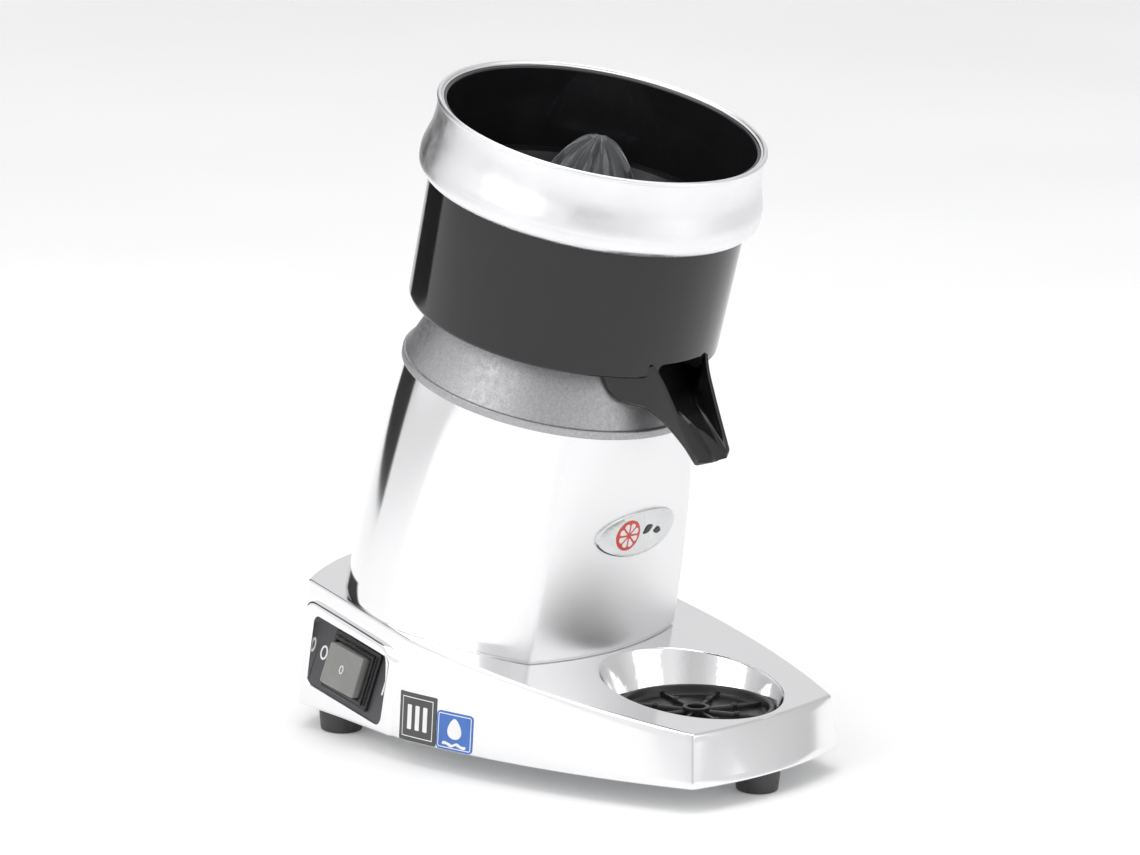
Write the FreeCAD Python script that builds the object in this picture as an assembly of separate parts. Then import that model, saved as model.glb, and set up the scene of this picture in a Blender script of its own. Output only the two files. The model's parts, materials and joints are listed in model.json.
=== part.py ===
import FreeCAD, Part
import math
import os

# Citrus press juicer: a cast base on three rubber feet, a motor housing that leans
# towards the glass, and a bowl with a spout, a strainer, a splash band and a reamer.
# Millimetres, +Z up. The origin is on the table under the middle of the base.
# Front is -Y, and the object's own right is +X.

V = FreeCAD.Vector
X_AXIS = V(1, 0, 0)
Y_AXIS = V(0, 1, 0)
Z_AXIS = V(0, 0, 1)
ORIGIN = V(0, 0, 0)

# ---- general ---------------------------------------------------------------
running_gap = 0.05          # radial gap of a shaft in a bearing
slip_gap = 0.4              # gap round a piece that lifts off by hand
seat_gap = 0.3              # gap between curved faces of pieces that move apart
cut_margin = 5.0            # how far a cutting tool runs past a face

# ---- base casting ----------------------------------------------------------
base_length = 280.0
base_width = 186.2          # over the switch and the opposite side
switch_stand_out = 0.8      # how far the switch stands outside its own flank
base_wall = 4.0
foot_height = 12.0          # the base's underside above the table
top_front_height = 38.1     # the top face above the table at the front edge
top_slope = 9.0             # degrees, the top face rises towards the rear
front_corner_x = 59.0       # half the front face's width
front_bow = 8.3             # how far the front face bulges
widest_from_rear = 106.0    # the widest place, measured from the rear end
tail_from_rear = 17.5       # where the straight flank ends, from the rear end
tail_x = 75.3
draft_side = 2.0            # how far each wall leans in at its top edge
draft_corner = 3.5
draft_front = 8.5
draft_rear = 3.0
cast_boss_r = 6.5
screw_pilot_depth = 11.0    # depth of the screw holes in the casting's bosses
roof_skin_cut = 0.5         # how far the shaft opening's tool reaches below the roof
base_land = 6.0             # top face left clear beside the motor housing

# ---- recess for the glass, and its tray -----------------------------------
recess_r = 48.0
recess_land = 3.6           # top face left in front of the recess
well_r = 41.0
well_floor_z = 30.0
well_wall = 3.0
tray_r = well_r - 2 * slip_gap
tray_shift = 3.5            # the well's centre is this much nearer the front
tray_height = 7.0
tray_floor = 2.0
tray_rib = 2.2
tray_hub_r = 7.0
tray_wall = 2.5
tray_rib_drop = 2.5         # the ribs stop this far below the rim
tray_hub_drop = 1.0
tray_stud_r = 1.8
tray_stud_circle_r = 22.0
tray_stud_drop = 1.5
tray_turn = 22.5            # degrees, turn of the ribs from the middle plane
tray_ribs = 4

# ---- feet and underside ----------------------------------------------------
foot_r_top = 12.0
foot_r_bottom = 10.8
foot_inset_front = 14.5
foot_inset_side = 14.0
foot_from_rear = 38.0
foot_screw_r = 2.0
foot_screw_head_r = 4.0
foot_screw_head = 2.5
foot_screw_sink = 5.0       # rubber between the screw's head and the base
foot_boss_rise = 16.0
cover_sheet = 1.5
cover_gap = 0.5
cover_screw_r = 1.5
cover_screw_head_r = 3.0
cover_screw_head = 1.8
cover_screw_bite = 9.0

# ---- leaning axis of the motor and the bowl --------------------------------
lean_angle = 12.6
axis_from_rear = 78.0       # where the axis meets the table, from the rear end

# heights along the leaning axis, from the table
stator_w = 108.0
stator_height = 50.0
housing_top_w = 195.6
collar_rim = 4.4            # height of the collar's upright rim
bowl_bottom_w = 230.3
band_bottom_w = 299.8
band_top_w = 339.5
reamer_tip_w = 331.0

# ---- motor housing ----------------------------------------------------------
housing_top_r = 76.0
housing_front_v = 76.8      # distance from the axis to the front facet
housing_corner_x = 58.0
housing_corner_v = 67.6
housing_rear_v = 80.0
housing_side_v = 8.0        # the widest place is this far behind the axis at the foot
housing_belly = 0.66        # share of the flare that is reached half way down
housing_wall = 3.5
housing_screw_r = 2.5
housing_screw_head = 3.0
housing_screw_pcd = 130.0
housing_screw_turns = (40, 140, 215, 325)
lug_r = 6.5
lug_height = 16.0
lug_arm_width = 8.0
lug_arm_length = 40.0
base_opening_r = 44.0

# ---- collar -------------------------------------------------------------------
collar_r = 78.4
collar_cone_r = 64.0
collar_wall = 4.0
collar_tube_r = 11.5
collar_screw_r = 2.0
collar_screw_head = 2.8
collar_screw_length = 18.0
collar_screw_circle_r = 55.0
collar_screw_turns = (45, 135, 225, 315)
collar_boss_r = 5.0
collar_rim_edge = 1.6       # flat width of the rim's upper edge
collar_tube_drop = 6.0      # the tube stops this far below the bowl's tube
plate_sheet = 5.0
plate_r = 61.0

# ---- motor --------------------------------------------------------------------
stator_r = 50.0
rotor_r = 27.0
air_gap = 0.5
winding_r = 43.0
winding_height = 9.0
bracket_sheet = 3.0
tie_bolt_r = 2.0
tie_bolt_circle_r = 45.5
tie_bolt_head = 3.0
tie_bolt_turns = (0, 90, 180, 270)
bracket_windows = (30, 120, 210, 300)
bracket_window = 14.0
slot_pitch = 15             # degrees between the stator's slots
slot_length = 12.0
slot_width = 3.0
coil_gap = 2.0              # clearance of the windings from iron and brackets
end_ring = 6.0              # height of the rotor's end rings
end_ring_out = 2.0          # the end rings lie this far inside the rotor's edge
end_ring_in = 9.0
shaft_r = 6.0
shaft_bottom_w = 66.0
shaft_top_w = 286.0
bearing_r = 14.0
bearing_width = 9.0
fan_r = 40.0
fan_height = 10.0
fan_blades = 9
fan_disc = 1.5
fan_blade = 1.6
fan_hub_wall = 5.0
seal_height = 3.0
slinger_r = 9.5
slinger_sheet = 2.0
drive_pin_r = 2.0
drive_pin_half = 8.0
drive_pin_w = 279.0

# ---- bowl, band, strainer, reamer ---------------------------------------------
bowl_r_bottom = 81.0
bowl_r_top = 83.2
bowl_edge_r = 5.0
bowl_wall = 2.6
bowl_floor = 3.0
bowl_rim_drop = 2.0         # the bowl's rim is this far below the band's top
chimney_r = 13.5
chimney_wall = 2.5
chimney_top_w = 258.0
strainer_seat_w = 292.0
strainer_sheet = 1.0
strainer_floor_w = 262.0
strainer_floor_r = 62.0
strainer_lip = 3.0
strainer_hole_r = 2.4
strainer_hole_rows = (26.0, 34.0, 42.0, 50.0)
strainer_first_row = 12     # holes in the innermost row
strainer_row_step = 4       # more holes in each row further out
band_bulge_r = 89.2
band_sheet = 1.4
reamer_r = 37.0
reamer_base_w = 266.0
reamer_skirt_lift = 2.5     # the skirt's underside above the reamer's base
reamer_skirt = 1.6
reamer_skirt_width = 4.0
reamer_ribs = 12
reamer_rib_depth = 2.2
hub_r = 11.0
hub_height = 22.0
hub_roof = 3.0

# ---- spout ----------------------------------------------------------------------
spout_tip_v = 111.6
spout_tip_w = 190.5
spout_tip_half = 13.8
spout_lip_height = 6.2
spout_root_half = 20.4
spout_apex_w = 240.0
spout_floor_root_w = 219.0
spout_wall = 2.2
spout_root_inset = 12.0     # how far under the bowl the spout reaches

# ---- switch pod -------------------------------------------------------------------
pod_proud = 2.0             # how far the pod stands out of the flank at its foot
pod_length = 78.0           # from the base's rear corner forwards
pod_drop = 9.5              # the pod's top runs this far below the base's top face
pod_depth = 16.0
pod_tilt = 1.0              # degrees, the pod's face leans in
pod_fade_foot = 5.0         # length over which the pod's front end fades into the flank
pod_fade_top = 16.0
pod_fade_depth = 4.0
panel_from_rear = 42.0      # the panel's middle, forwards from the rear corner
panel_middle_z = 39.0
panel_tilt = 13.0           # degrees, the panel leans in
panel_roll = 8.5            # degrees, the panel drops towards the front
panel_length = 64.0
panel_height = 37.5
panel_sink = 0.8            # at its lower edge
panel_sheet = 2.0
panel_corner_r = 4.0
panel_ledge = 2.5           # casting left behind the panel's edges
switch_length = 33.0
switch_height = 27.0
switch_depth = 20.0
bezel_length = 39.0
bezel_height = 32.0
bezel_proud = 4.5
bezel_step = 2.5
rocker_length = 24.4
rocker_height = 20.4
rocker_stand = 4.2          # how far the paddle stands over the bezel
rocker_body = 1.0           # the paddle's depth below the panel's face
rocker_stem = 4.5
rocker_swing = 5.0          # degrees each side of flat
rocker_play = 2.6           # room beside the rocker's ends
rocker_side_play = 1.2
rocker_pin_r = 1.5
rocker_pin_depth = 4.0      # the pin's depth below the panel's face
rocker_pocket_depth = 12.0
boot_sheet = 0.8
boot_overlap = 1.5          # the boot's skirt inside the bezel
blade_size = (0.8, 9.0, 6.3)
blade_x = 8.0

# ---- electrics ----------------------------------------------------------------------
capacitor_r = 15.0
capacitor_length = 52.0
capacitor_from_axis = 20.0  # the capacitor's middle is this far in front of the axis
capacitor_from_flank = 31.0
strap_sheet = 1.2
strap_width = 10.0
strap_tab = 5.0
terminal_size = (34.0, 18.0, 14.0)
terminal_hole_r = 2.2
terminal_hole_depth = 6.0
terminal_x = -55.0
terminal_from_axis = 80.0
inlet_r = 6.0
gland_flange_r = 9.0
gland_flange = 3.0
gland_length = 16.0
gland_wall = 2.0
inlet_z = 30.0
inlet_x = 0.0

# ---- badges and labels ------------------------------------------------------------
badge_half_length = 31.0
badge_half_height = 13.0
badge_sheet = 1.2
badge_drop = 55.0           # the badge's centre below the collar, along the axis
label_lengths = (25.0, 23.0)
label_heights = (25.5, 20.0)
label_lift = 0.8            # above the foot of the flank
label_start = 4.0           # the first label starts this far behind the widest place
label_sheet = 0.3
label_gap = 0.5

# ---- worked out from the sizes above -----------------------------------------------
front_y = -base_length / 2
rear_y = base_length / 2
right_x = base_width / 2
left_x = base_width / 2 - switch_stand_out
corner_y = front_y + front_bow
widest_y = rear_y - widest_from_rear
tail_y = rear_y - tail_from_rear
axis_y = rear_y - axis_from_rear
slope_tan = math.tan(math.radians(top_slope))
lean = math.radians(lean_angle)
stator_top_w = stator_w + stator_height
lower_bracket_w = stator_w - winding_height - coil_gap - bracket_sheet
upper_bracket_w = stator_top_w + winding_height + coil_gap
plate_top_w = upper_bracket_w + bracket_sheet + plate_sheet


def top_z(y):
    """Height of the base's sloping top face at a place along the base."""
    return top_front_height + slope_tan * (y - front_y)


def leaning(shape):
    """Turns a shape made about the Z axis onto the leaning axis."""
    turned = shape.copy()
    turned.rotate(ORIGIN, X_AXIS, lean_angle)
    turned.translate(V(0, axis_y, 0))
    return turned


def turned_solid(points):
    """Solid of revolution about Z from (radius, height) points."""
    wire = Part.makePolygon([V(r, 0, z) for r, z in points + points[:1]])
    return Part.Face(wire).revolve(ORIGIN, Z_AXIS, 360)


def ring(r_out, r_in, z_low, height):
    """Plain ring, or a disc when the inner radius is nought."""
    body = Part.makeCylinder(r_out, height, V(0, 0, z_low))
    if r_in > 0:
        body = body.cut(Part.makeCylinder(r_in, height + 2 * cut_margin, V(0, 0, z_low - cut_margin)))
    return body


def arc(a, middle, b):
    return Part.Arc(a, middle, b).toShape()


def export(name, shape):
    solids = shape.Solids
    body = solids[0] if len(solids) == 1 else Part.makeCompound(solids)
    body.exportStep(os.path.join("parts", name + ".step"))


# ---- base -----------------------------------------------------------------------


def flank_middle(half, corner_x, y_corner, y_wide):
    """Middle point of the flank's arc, which runs along Y at the widest place."""
    across = half - corner_x
    along = y_wide - y_corner
    radius = (across ** 2 + along ** 2) / (2 * across)
    half_turn = math.asin(along / radius) / 2
    return half - radius * (1 - math.cos(half_turn)), y_wide - radius * math.sin(half_turn)


def base_outline(wall, at_top, height):
    """Closed outline of the base, a wall thickness inside, at a height given by a function."""
    side = wall + (draft_side if at_top else 0)
    corner = wall + (draft_corner if at_top else 0)
    front = wall + (draft_front if at_top else 0)
    rear = wall + (draft_rear if at_top else 0)
    corner_x = front_corner_x - corner
    y_corner = corner_y + corner
    y_tail = tail_y - rear
    tail = tail_x - side

    def at(x, y):
        return V(x, y, height(y))

    right_mid = flank_middle(right_x - side, corner_x, y_corner, widest_y)
    left_mid = flank_middle(left_x - side, corner_x, y_corner, widest_y)
    edges = [
        arc(at(-corner_x, y_corner), at(0, front_y + front), at(corner_x, y_corner)),
        arc(at(corner_x, y_corner), at(*right_mid), at(right_x - side, widest_y)),
        Part.makeLine(at(right_x - side, widest_y), at(tail, y_tail)),
        arc(at(tail, y_tail), at(0, rear_y - rear), at(-tail, y_tail)),
        Part.makeLine(at(-tail, y_tail), at(side - left_x, widest_y)),
        arc(at(side - left_x, widest_y), at(-left_mid[0], left_mid[1]), at(-corner_x, y_corner)),
    ]
    return Part.Wire(edges)


def base_block(wall, bottom_z, roof):
    """Solid of the base between its underside and its sloping top."""
    low = base_outline(wall, False, lambda y: bottom_z)
    high = base_outline(wall, True, lambda y: top_z(y) - roof)
    return Part.makeLoft([low, high], True, True)


recess_y = front_y + draft_front + recess_land + recess_r * math.cos(math.radians(top_slope))
well_y = recess_y - tray_shift


def tilted_disc(radius, y, lift, height):
    """Cylinder square to the base's sloping top face."""
    body = Part.makeCylinder(radius, height)
    body.rotate(ORIGIN, X_AXIS, top_slope)
    body.translate(V(0, y, top_z(y) + lift))
    return body


def well_solid(grow, floor_z):
    """Skewed cone from the sloping rim of the recess down to its level floor."""
    normal = V(0, -math.sin(math.radians(top_slope)), math.cos(math.radians(top_slope)))
    rim = Part.Wire(Part.makeCircle(recess_r + grow, V(0, recess_y, top_z(recess_y)), normal))
    foot = Part.Wire(Part.makeCircle(well_r + grow, V(0, well_y, floor_z), Z_AXIS))
    return Part.makeLoft([foot, rim], True, True)


foot_rear_y = rear_y - foot_from_rear
foot_rear_x = tail_x + (tail_y - foot_rear_y) * (left_x - tail_x) / (tail_y - widest_y) - foot_inset_side
feet_at = {
    "foot_front": (0.0, front_y + foot_inset_front),
    "foot_rear_left": (-foot_rear_x, foot_rear_y),
    "foot_rear_right": (foot_rear_x, foot_rear_y),
}
boss_top_z = foot_height + foot_boss_rise
cover_z = foot_height       # the cover lies flush with the rim of the base


def cover_screw_places():
    """Screws of the underside cover, near its corners and its widest place."""
    inset = base_wall + cast_boss_r + 1.0
    return [
        (-(front_corner_x - inset), corner_y + inset + 3.0),
        (front_corner_x - inset, corner_y + inset + 3.0),
        (-(left_x - inset), widest_y - 30.0),
        (left_x - inset, widest_y - 30.0),
        (-(tail_x - inset - 20.0), tail_y - inset),
        (tail_x - inset - 20.0, tail_y - inset),
    ]


def drilled(body, places, radius, z_low, height):
    """Body with upright holes at the places given."""
    for x, y in places:
        body = body.cut(Part.makeCylinder(radius, height, V(x, y, z_low)))
    return body


# The pod is built in its own frame: X forwards along the flank, Z up, Y into the casting.
flank_dx = left_x - tail_x
flank_dy = widest_y - tail_y
flank_len = math.hypot(flank_dx, flank_dy)
pod_t = V(-flank_dx / flank_len, flank_dy / flank_len, 0)
pod_n = V(flank_dy / flank_len, flank_dx / flank_len, 0)
pod_middle = V(-tail_x, tail_y, 0) + pod_t * (pod_length / 2) + pod_n * pod_proud
pod_turn = math.degrees(math.atan2(pod_t.y, pod_t.x))
pod_rise = panel_middle_z - foot_height


def on_pod(shape):
    """Places a shape made about the middle of the pod's face."""
    placed = shape.copy()
    placed.rotate(ORIGIN, X_AXIS, -pod_tilt)
    placed.translate(V(0, 0, pod_rise))
    placed.rotate(ORIGIN, Z_AXIS, pod_turn)
    lean_in = pod_rise * math.tan(math.radians(pod_tilt))
    placed.translate(pod_middle - pod_n * lean_in + V(0, 0, foot_height))
    return placed


def on_panel(shape):
    """Places a shape made about the middle of the leaning switch panel."""
    placed = shape.copy()
    placed.rotate(V(0, 0, -panel_height / 2), X_AXIS, pod_tilt - panel_tilt)
    placed.rotate(ORIGIN, Y_AXIS, panel_roll)
    placed.translate(V(panel_from_rear - pod_length / 2, 0, 0))
    return on_pod(placed)


def panel_box(length, height, y_low, y_high):
    """Box centred on the panel, from one depth to another (positive is inwards)."""
    return Part.makeBox(length, y_high - y_low, height, V(-length / 2, y_low, -height / 2))


def rounded_box(length, height, y_low, y_high, corner):
    """Panel box with its four long edges rounded."""
    body = panel_box(length, height, y_low, y_high)
    long_edges = [e for e in body.Edges if abs(e.tangentAt(e.FirstParameter).y) > 0.9]
    return body.makeFillet(corner, long_edges)


def pod_outline(fade, z):
    """Five-sided outline of the pod, with its front end fading into the flank."""
    half = pod_length / 2
    points = [V(-half, 0, z), V(half, 0, z), V(half + fade, pod_fade_depth, z), V(half + fade, pod_depth, z),
              V(-half, pod_depth, z)]
    return Part.makePolygon(points + points[:1])


def below_slope(drop):
    """Everything between the foot of the base and a plane under its sloping top face."""
    reach = 2 * base_length
    block = Part.makeBox(reach, reach, reach, V(-reach / 2, -reach / 2, -reach))
    block.rotate(ORIGIN, X_AXIS, top_slope)
    block.translate(V(0, 0, top_z(0) - drop))
    above_foot = Part.makeBox(reach, reach, reach, V(-reach / 2, -reach / 2, foot_height))
    return block.common(above_foot)


def pod_block():
    """Raised polished frame of the switch, from the foot of the base to below its top edge."""
    high = base_width / 2
    foot = pod_outline(pod_fade_foot, foot_height - panel_middle_z - cut_margin)
    top = pod_outline(pod_fade_top, high - panel_middle_z)
    return on_pod(Part.makeLoft([foot, top], True, True)).common(below_slope(pod_drop))


def panel_seat():
    """Cast ledge round the panel's opening, inside the pod."""
    deep = panel_sink + panel_sheet + panel_ledge
    seat = on_panel(panel_box(panel_length + 2 * panel_ledge, panel_height + 2 * panel_ledge, 0, deep))
    return seat.common(base_block(0.0, foot_height, 0.0).fuse(pod_block()))


def base_casting():
    """Hollow casting, open below, with the recess for the glass and the switch pod."""
    outer = base_block(0.0, foot_height, 0.0).fuse(pod_block())
    hollow = base_block(base_wall, foot_height - cut_margin, base_wall)
    body = outer.cut(hollow)
    well = well_solid(well_wall, well_floor_z - well_wall).common(base_block(0.0, foot_height, 0.0))
    bosses = [Part.makeCylinder(cast_boss_r, base_length, V(x, y, cover_z + cover_sheet))
              for x, y in list(feet_at.values()) + cover_screw_places()]
    inside = base_block(base_wall / 2, foot_height, base_wall / 2)
    body = body.fuse([well, panel_seat()] + [boss.common(inside) for boss in bosses])
    mouth = tilted_disc(recess_r, recess_y, -0.01, 2 * cut_margin)
    body = body.cut(well_solid(0.0, well_floor_z).fuse(mouth))
    opening = leaning(Part.makeCylinder(base_opening_r, 2 * housing_top_w, V(0, 0, 0)))
    below_roof = base_block(0.0, foot_height - cut_margin, base_wall + roof_skin_cut)
    roof_only = base_block(0.0, foot_height, 0.0).cut(below_roof)
    body = body.cut(opening.common(roof_only))
    body = drilled(body, feet_at.values(), foot_screw_r, foot_height, foot_boss_rise - foot_screw_sink + 1.0)
    body = drilled(body, cover_screw_places(), cover_screw_r, foot_height, screw_pilot_depth)
    for x, y in housing_screw_places():
        hole = Part.makeCylinder(housing_screw_r, 4 * base_wall, V(x, y, -2 * base_wall))
        hole.rotate(V(x, y, 0), X_AXIS, top_slope)
        hole.translate(V(0, 0, top_z(y)))
        body = body.cut(hole)
    deep = panel_sink + panel_sheet
    corner = panel_corner_r + slip_gap / 2
    window = rounded_box(panel_length + slip_gap, panel_height + slip_gap, -pod_depth, deep, corner)
    body = body.cut(on_panel(window))
    body = body.cut(on_panel(panel_box(switch_length + slip_gap, switch_height + slip_gap, 0, 2 * pod_depth)))
    inlet = Part.makeCylinder(inlet_r + slip_gap, 6 * base_wall, V(inlet_x, rear_y, inlet_z), V(0, -1, 0))
    return body.cut(inlet.fuse(inlet_spot()))


def inlet_spot():
    """Flat spot face for the cable gland's flange on the curved rear wall."""
    return Part.makeCylinder(gland_flange_r + slip_gap, base_length, V(inlet_x, gland_y, inlet_z), Y_AXIS)


def rear_wall_y(x):
    """Where the rear face stands across the base, at the height of its underside."""
    chord = tail_x
    bow = tail_from_rear
    radius = (chord ** 2 + bow ** 2) / (2 * bow)
    return rear_y - radius + math.sqrt(radius ** 2 - x ** 2)


gland_y = rear_wall_y(inlet_x + gland_flange_r) - draft_rear


def base_cover():
    """Sheet that closes the underside."""
    reach = 2 * base_length
    slab = Part.makeBox(reach, reach, cover_sheet, V(-reach / 2, -reach / 2, cover_z))
    body = base_block(base_wall + cover_gap, foot_height - cut_margin, base_wall).common(slab)
    body = drilled(body, feet_at.values(), foot_screw_r, 0, 30.0)
    return drilled(body, cover_screw_places(), cover_screw_r, 0, 30.0)


def foot(x, y):
    """Tapered rubber foot with a sunk screw hole."""
    body = Part.makeCone(foot_r_bottom, foot_r_top, cover_z, V(x, y, 0))
    body = body.cut(Part.makeCylinder(foot_screw_head_r + slip_gap, cover_z - foot_screw_sink, V(x, y, 0)))
    return body.cut(Part.makeCylinder(foot_screw_r, cover_z, V(x, y, 0)))


def screw(x, y, head_low, shank_top, shank_r, head_r, head_height):
    """Pan-headed screw, head down."""
    head = Part.makeCylinder(head_r, head_height, V(x, y, head_low))
    head = head.cut(Part.makeCylinder(shank_r / 2, head_height / 2, V(x, y, head_low)))
    seat = head_low + head_height
    return head.fuse(Part.makeCylinder(shank_r, shank_top - seat, V(x, y, seat)))


def foot_screws():
    low = cover_z - foot_screw_sink - foot_screw_head
    return Part.makeCompound([screw(x, y, low, boss_top_z - base_wall, foot_screw_r, foot_screw_head_r,
                                    foot_screw_head) for x, y in feet_at.values()])


def cover_screws():
    low = cover_z - cover_screw_head
    high = cover_z + cover_screw_bite
    return Part.makeCompound([screw(x, y, low, high, cover_screw_r, cover_screw_head_r, cover_screw_head)
                              for x, y in cover_screw_places()])


def tray():
    """Black tray in the recess: a rim, a thin floor, crossed ribs with small studs, and a hub."""
    body = ring(tray_r, 0, 0, tray_floor).fuse(ring(tray_r, tray_r - tray_wall, 0, tray_height))
    body = body.fuse(ring(tray_hub_r, tray_hub_r - tray_rib, 0, tray_height - tray_hub_drop))
    for step in range(tray_ribs):
        rib = Part.makeBox(2 * tray_r - tray_wall, tray_rib, tray_height - tray_rib_drop,
                           V(tray_wall / 2 - tray_r, -tray_rib / 2, 0))
        rib = rib.cut(Part.makeCylinder(tray_hub_r - tray_rib / 2, tray_height))
        rib.rotate(ORIGIN, Z_AXIS, tray_turn + 180.0 * step / tray_ribs)
        body = body.fuse(rib)
    for step in range(2 * tray_ribs):
        stud = Part.makeCylinder(tray_stud_r, tray_height - tray_stud_drop, V(tray_stud_circle_r, 0, 0))
        stud.rotate(ORIGIN, Z_AXIS, tray_turn + 180.0 * step / tray_ribs)
        body = body.fuse(stud)
    body.translate(V(0, well_y, well_floor_z))
    return body.removeSplitter()


# ---- motor housing and collar -----------------------------------------------------


def housing_section(w, wall):
    """Closed outline across the housing at a height along the axis, morphing to a circle."""
    foot_w = base_seat_w()
    share = (housing_top_w - w) / (housing_top_w - foot_w)
    flare = share + (housing_belly - 0.5) * 4 * share * (1 - share)
    side = housing_top_r + (right_x - draft_side - base_land - housing_top_r) * flare - wall
    top_angle = math.radians(42.0)
    corner_x = (housing_top_r * math.sin(top_angle)) * (1 - flare) + housing_corner_x * flare - wall
    corner_v = (housing_top_r * math.cos(top_angle)) * (1 - flare) + housing_corner_v * flare - wall * 0.8
    front_v = housing_top_r * (1 - flare) + housing_front_v * flare - wall
    rear_v = housing_top_r * (1 - flare) + housing_rear_v * flare - wall
    side_v = housing_side_v * flare
    flank = 0.5 * (math.pi / 2 - top_angle)
    mid_x_top = (housing_top_r - wall) * math.cos(flank)
    mid_v_top = -(housing_top_r - wall) * math.sin(flank)
    mid_x_foot = corner_x + (side - corner_x) * 0.64
    mid_v_foot = -corner_v + (side_v + corner_v) * 0.46
    mid_x = mid_x_top * (1 - flare) + mid_x_foot * flare
    mid_v = mid_v_top * (1 - flare) + mid_v_foot * flare
    rear_x = side * math.sin(math.radians(45))
    rear_mid_v = side_v + (rear_v - side_v) * math.sin(math.radians(45))

    def at(x, v):
        return V(x, v, w)

    edges = [
        arc(at(-corner_x, -corner_v), at(0, -front_v), at(corner_x, -corner_v)),
        arc(at(corner_x, -corner_v), at(mid_x, mid_v), at(side, side_v)),
        arc(at(side, side_v), at(rear_x, rear_mid_v), at(0, rear_v)),
        arc(at(0, rear_v), at(-rear_x, rear_mid_v), at(-side, side_v)),
        arc(at(-side, side_v), at(-mid_x, mid_v), at(-corner_x, -corner_v)),
    ]
    return Part.Wire(edges)


def base_seat_w():
    """Distance along the axis from the table to the base's top face."""
    return top_z(axis_y) / (math.cos(lean) + slope_tan * math.sin(lean))


def housing_block(wall, top_drop):
    """Solid inside the housing's outline, cut off at the base's top face."""
    low = base_seat_w() - 12.0
    high = housing_top_w - top_drop
    levels = [low, low + (high - low) * 0.33, low + (high - low) * 0.67, high]
    block = leaning(Part.makeLoft([housing_section(w, wall) for w in levels], True, False))
    reach = 2 * base_length
    above = Part.makeBox(reach, reach, reach, V(-reach / 2, -reach / 2, 0))
    above.rotate(ORIGIN, X_AXIS, top_slope)
    above.translate(V(0, axis_y, top_z(axis_y)))
    return block.common(above)


def housing_screw_places():
    """Four screws up through the base's top into the housing's lugs."""
    half = housing_screw_pcd / 2
    seat_y = axis_y - base_seat_w() * math.sin(lean)
    turns = [math.radians(a) for a in housing_screw_turns]
    return [(half * math.cos(a), seat_y + half * math.sin(a)) for a in turns]


def motor_housing():
    """Bell-shaped polished casting with a flat-fronted foot and four screw lugs."""
    outer = housing_block(0.0, 0.0)
    inner = housing_block(housing_wall, housing_wall)
    body = outer.cut(inner)
    throat_r = housing_top_r - 3 * housing_wall
    throat = leaning(Part.makeCylinder(throat_r, 2 * housing_top_w, V(0, 0, base_seat_w())))
    body = body.cut(throat)
    for x, y in housing_screw_places():
        lug = Part.makeCylinder(lug_r, lug_height, V(x, y, 0))
        core = Part.makeCylinder(housing_screw_r, 6 * base_wall, V(x, y, -base_wall))
        for piece in (lug, core):
            piece.rotate(V(x, y, 0), X_AXIS, top_slope)
            piece.translate(V(0, 0, top_z(y)))
        arm = lug_arm(x, y)
        body = body.fuse([lug.common(outer), arm.common(outer)]).cut(core)
    return body


def lug_arm(x, y):
    """Rib that joins a screw lug to the housing's wall."""
    seat_y = axis_y - base_seat_w() * math.sin(lean)
    turn = math.degrees(math.atan2(y - seat_y, x))
    arm = Part.makeBox(lug_arm_length, lug_arm_width, 3 * base_wall, V(lug_r - 1.0, -lug_arm_width / 2, 0))
    arm.rotate(ORIGIN, Z_AXIS, turn)
    arm.rotate(ORIGIN, X_AXIS, top_slope)
    arm.translate(V(x, y, top_z(y)))
    return arm


def housing_screws():
    """Four screws with their heads inside the base."""
    screws = []
    for x, y in housing_screw_places():
        low = -base_wall - housing_screw_head
        one = screw(x, y, low, 2.5 * base_wall, housing_screw_r, 1.8 * housing_screw_r, housing_screw_head)
        one.rotate(V(x, y, 0), X_AXIS, top_slope)
        one.translate(V(0, 0, top_z(y)))
        screws.append(one)
    return Part.makeCompound(screws)


collar_top_w = bowl_bottom_w - seat_gap
tube_low_w = housing_top_w + 10.0
tube_top_w = chimney_top_w - collar_tube_drop


def collar():
    """Raw casting that closes the housing: upright rim, cone, flat seat and a shaft tube."""
    rim_top = housing_top_w + collar_rim
    thick = collar_wall
    profile = [
        (collar_r, housing_top_w), (collar_r, rim_top), (collar_r - collar_rim_edge, rim_top),
        (collar_cone_r, collar_top_w), (collar_tube_r, collar_top_w), (collar_tube_r, tube_top_w),
        (shaft_r + 1.5, tube_top_w), (shaft_r + 1.5, tube_low_w),
        (collar_tube_r, tube_low_w), (collar_tube_r, collar_top_w - thick),
        (collar_cone_r - 3.0, collar_top_w - thick), (collar_r - 3 * thick, housing_top_w),
    ]
    body = turned_solid(profile)
    for turn in collar_screw_turns:
        boss = ring(collar_boss_r, collar_screw_r, plate_top_w, collar_top_w - plate_top_w - 1.0)
        boss.translate(V(collar_screw_circle_r, 0, 0))
        boss.rotate(ORIGIN, Z_AXIS, turn)
        body = body.fuse(boss)
    return leaning(body)


def spread(shape, radius, turns):
    """Copies of a shape round the axis."""
    copies = []
    for turn in turns:
        one = shape.copy()
        one.translate(V(radius, 0, 0))
        one.rotate(ORIGIN, Z_AXIS, turn)
        copies.append(one)
    return copies


# ---- motor ------------------------------------------------------------------------


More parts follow.
